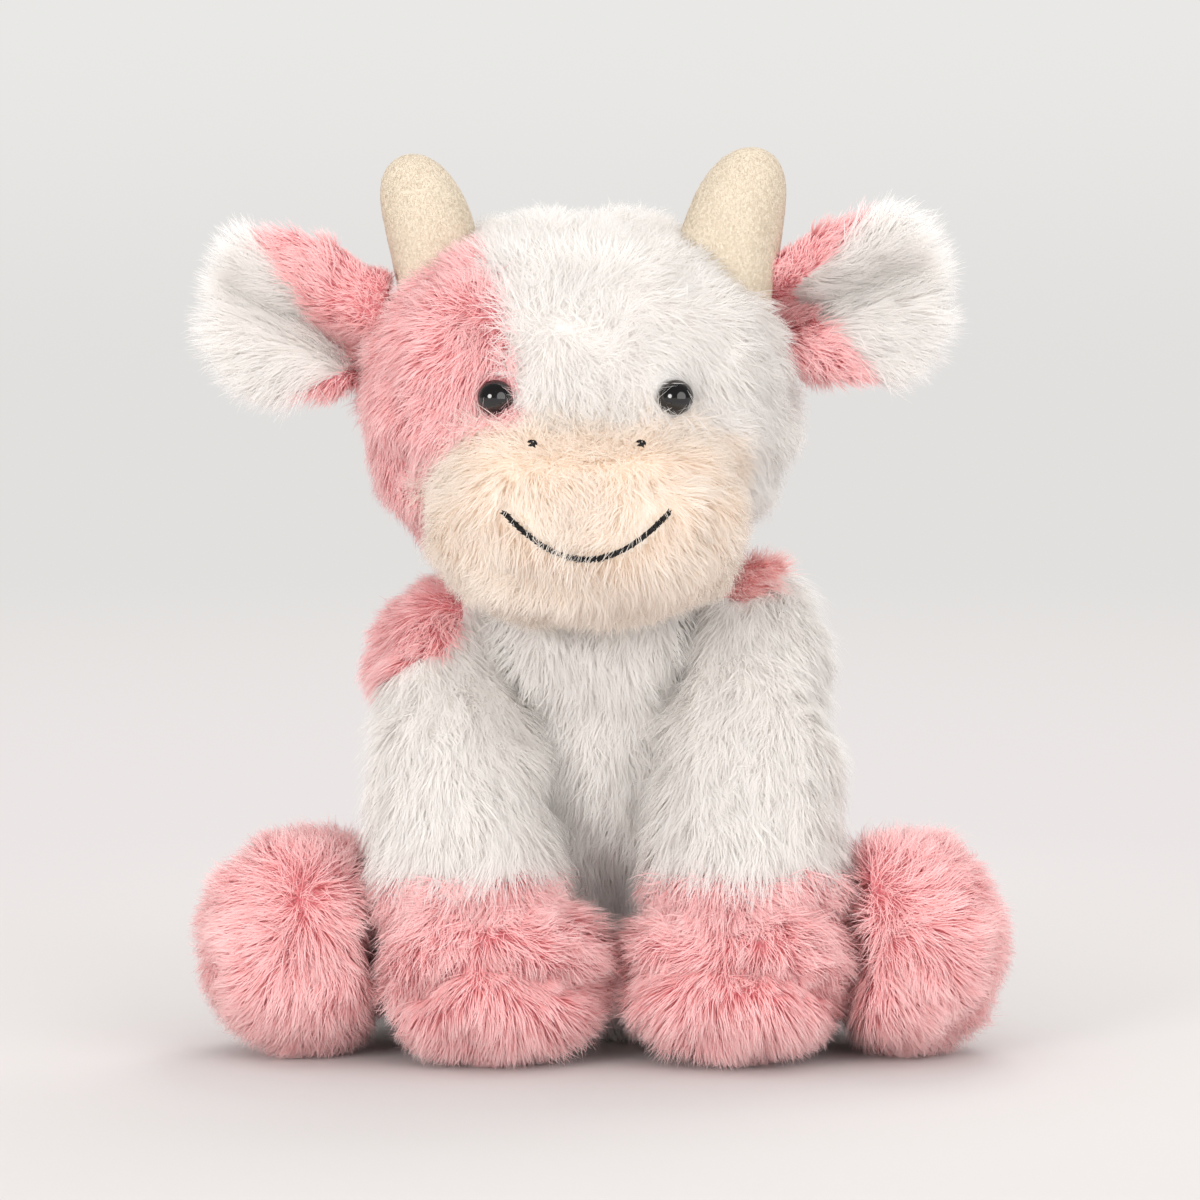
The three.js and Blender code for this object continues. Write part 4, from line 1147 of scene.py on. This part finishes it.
headKeep = clearOf("torso_pelt", "horn_pelt_left", "horn_pelt_right", depth=0.4)
growPile("head_pile_white", "head_pelt", "white",
    whorl(-5, -60, 201, reach=45)
    + downwards((0, 30, 190, 0, 0.3, -1), reach=40)
    + laid((49.8, -30, 182.3, 0.6, -0.8), (20, -55, 192, 0.5, -0.9), reach=20)
    + laid((-20, -58, 214, 0.2, 1), (-18, -62, 200, 0.5, -0.3), (-17, -61, 190, 0.3, -1), reach=7, pull=2),
    11, 21, density=0.95, keep=headKeep, trim=faceTrim,
    clumpPull=0.15, scatter=24, swirl=30, uneven=13, rise=(48, 7))
growPile("head_pile_pink", "head_pelt", "pink",
    whorl(-45, -50, 209, reach=9, pull=0.35)
    + laid(
        (-65.5, -30, 201.9, -1, -0.1), (-56.4, -45, 188.1, -0.7, -0.7), (-62.9, -30, 168.2, -0.3, -1),
        (-54, -40, 160.2, -0.1, -1), (-56.8, -35, 218.7, -1, 0.3), (-42.6, -40, 224.2, -0.8, 0.5),
        (-32, -55, 212.9, -0.1, 1), (-31, -58, 199.2, 0.2, -0.9), (-31, -58, 188, 0.1, -1),
        (-42.1, -55, 191, -0.5, -0.8)),
    10.5, 22, keep=headKeep, trim=faceTrim, scatter=22)
growPile("muzzle_pile", "head_pelt", "peach",
    laid(
        (-18, -71, 174, -0.1, 1), (6, -71, 174, 0.1, 1), (-5, -64, 178, 0, 1), (-34, -62, 174, -0.5, 0.9),
        (23, -62, 174, 0.5, 0.9), reach=6)
    + laid((-6, -80, 162, 0, -1), (-22, -78, 160, -0.3, -1), (11, -78, 160, 0.3, -1), reach=8)
    + laid(
        (-42, -60, 160.9, -0.9, -0.4), (32, -60, 160.9, 0.9, -0.4), (-5, -80, 152, 0, -1),
        (-30, -68, 135, -0.4, -0.9), (22, -68, 135, 0.4, -0.9), (-5, -75, 129, 0, -1)),
    muzzleLength, 23, density=1.2, keep=headKeep, trim=faceTrim,
    scatter=26, swirl=28, rise=(50, 10), stand=0, tangle=115)

pawLooks = {
    # above the crease the nap stands up in messy tufts, below it lies smooth
    "upper": {"scatter": 34, "swirl": 36, "clumpPull": 0.5, "rise": (58, 18)},
    "lower": {"scatter": 15, "swirl": 12, "clumpPull": 0.36, "rise": (46, 9)},
}
naps = {
    # foot: the nap falls away on both sides of an upright furrow
    "left": {
        "paw": laid((20, -70, 56, -0.5, -0.8), (36, -76, 56, 0, -1), (52, -70, 56, 0.5, -0.8), reach=8)
        + laid(
            (20, -80, 42, -0.5, -0.6), (40, -85, 42, 0.1, -1), (56, -78, 40, 0.7, -0.6),
            (8, -65, 28, -1, -0.2), (66, -65, 28, 1, -0.2), (15, -80, 16, -0.6, -0.8),
            (35, -86, 16, 0, -1), (56, -78, 16, 0.6, -0.8), reach=9),
        "foot": laid(
            (80, -66, 66, 0.1, 1), (89, -74, 54, 0.9, 0.3), (94, -74, 38, 1, -0.2), (92, -74, 22, 0.8, -0.6),
            (83, -76, 9, 0.3, -1), (66, -78, 52, -0.6, -0.4), (66, -78, 34, -0.5, -0.9),
            (70, -78, 18, -0.1, -1), reach=9),
        "shoulder": downwards((42, -14, 130, 0.3, -0.8, -0.2), (54, -8, 128, 0.8, -0.6, -0.4), reach=14),
        "shoulderRise": (50, 12),
        "earWhite": 13,
    },
    "right": {
        "paw": laid((-50, -70, 56, -0.4, -0.9), (-36, -76, 56, 0.1, -1), (-22, -72, 56, 0.6, -0.8), reach=8)
        + laid(
            (-47, -80, 42.3, -0.6, -0.8), (-27.9, -85, 40.4, 0.7, -0.6), (-11.8, -75, 36.1, 0.9, -0.3),
            (-49.8, -80, 31.4, -0.2, -1), (-61.3, -70, 13.1, -0.7, -0.7), (-33.4, -85, 18.5, -0.4, -1),
            (-17.1, -85, 21.3, 0.5, -0.9), (-3.6, -70, 27, 1, -0.1), reach=9),
        "foot": laid(
            (-86, -66, 66, -0.2, 1), (-97, -72, 50, -1, 0.2), (-100, -72, 36, -1, -0.3),
            (-97, -74, 20, -0.8, -0.7), (-90, -76, 9, -0.4, -1), (-75, -78, 50, 0.8, -0.3),
            (-71, -78, 36, 0.6, -0.8), (-70, -78, 20, 0.4, -0.9), reach=9),
        "shoulder": laid(
            (-64, -20, 106, -0.4, -0.9), (-56, -28, 118, -0.5, -0.8), (-45, -34, 114, 0.2, -1),
            (-55, -15, 130, -0.7, 0.4), reach=12),
        "shoulderRise": (52, 10),
        "earWhite": 12.5,
    },
}

def both(keep, fits):
    # the roots that keep leaves and whose place in millimetres fits
    def chosen(roots):
        return keep(roots) & fits(*(roots / mm).T)
    return chosen

def onShoulder(x, y, z):
    return z > armForm["shoulderLow"]

def pawPart(side, part):
    # above or below the crease that runs across the paw
    line = np.array(arms[side]["crease"])
    def fits(x, y, z):
        over = (z > np.interp(x, line[:, 0], line[:, 2])) | (y > armForm["creaseBack"])
        return (over if part == "upper" else ~over) & (z < armForm["shoulderLow"])
    return fits

def pawLength(side):
    # shorter in a crease, longer where the paws face each other
    creases = [np.array(arms[side]["crease"]), np.array(arms[side]["smallCrease"][0])]
    least, more = armForm["creasePile"], armForm["innerPile"] - 1
    def length(places, outward):
        gone = np.min([distanceToLine(places, line) for line in creases], axis=0)
        inner = np.clip(-outward[:, 0] * ears[side]["sign"] - armForm["innerFacing"], 0, 1)
        inner = inner * (places[:, 1] < armForm["innerBack"])
        share = np.clip(least + (1 - least) * gone / armForm["creaseReach"], least, 1)
        return armForm["pawPile"] * share * (1 + more * inner)
    return length

def earLength(side):
    # the pink pile is shorter next to the horn, and towards the rim, where it would show past the lining
    reach = np.linspace(0, earForm["length"], 24)
    low, high = earEdges(reach)
    edges = [*zip(reach, low), *zip(reach[::-1], high[::-1])]
    rim = np.array([(x, 0, z) for x, z in edges])
    def length(places, outward):
        along, above = earPlace(ears[side], places)
        gone = distanceToLine(np.stack([along, np.zeros(len(along)), above], axis=1), rim)
        byRim = np.clip(gone / earForm["rimReach"], earForm["rimPile"], 1)
        nearHorn = (along < earForm["hornNear"]) & (above > earForm["hornOver"])
        byHorn = np.where(nearHorn, earForm["hornPile"], 1)
        onBack = (along > earForm["backFrom"]) & (outward[:, 1] > earForm["backFacing"])
        return earForm["pile"] * np.where(onBack, byRim, byHorn)
    return length

for side, sign, seed in (("left", 1, 30), ("right", -1, 40)):
    nap = naps[side]
    arm, leg, ear = "arm_pelt_" + side, "leg_pelt_" + side, "ear_pelt_" + side
    armKeep = clearOf("torso_pelt", leg, "head_pelt")
    growPile("arm_pile_white_" + side, arm, "white", downwards((sign * 40, -40, 80, 0, -0.2, -1)), 12.5,
        seed + 1, keep=armKeep, clumpPull=0.16, swirl=16, scatter=17, rise=(46, 6))
    for part, step in (("upper", 2), ("lower", 8)):
        growPile(f"paw_pile_{part}_{side}", arm, "pink", nap["paw"], pawLength(side), seed + step,
            density=1.15, keep=both(armKeep, pawPart(side, part)), **pawLooks[part])
    growPile("shoulder_pile_" + side, arm, arms[side]["patchColour"], nap["shoulder"], 10, seed + 7,
        density=1.15, keep=both(armKeep, onShoulder), scatter=24, rise=nap["shoulderRise"])
    growPile("leg_pile_white_" + side, leg, "white",
        downwards((sign * 55, 0, 40, sign * 0.7, -0.5, -0.4)), 11, seed + 3,
        density=0.7, width=1.15, keep=clearOf("torso_pelt", arm, depth=6))
    growPile("leg_pile_pink_" + side, leg, "pink", nap["foot"], 11.5, seed + 4,
        density=1.1, keep=clearOf(arm), scatter=22, swirl=26, clumpPull=0.42, rise=(50, 10))
    x, y, z = ears[side]["root"]
    growPile("ear_pile_pink_" + side, ear, "pink",
        whorl(x - sign * 6, -8, z + 6, reach=60), earLength(side), seed + 5,
        density=1.5, keep=clearOf("head_pelt"))
    growPile("ear_pile_white_" + side, ear, "white",
        whorl(x - sign * 2, -8, z + 4, reach=60), nap["earWhite"], seed + 6,
        density=1.3, keep=clearOf("head_pelt"), swirl=14)
growPile("tail_pile_white", "tail_pelt", "white", downwards((0, 50, 40, 0, 0.6, -0.8)), 7, 51,
    keep=clearOf("torso_pelt"))
growPile("tail_pile_pink", "tail_pelt", "pink", downwards((0, 60, 40, 0, 0.7, -0.5)), 12, 52)
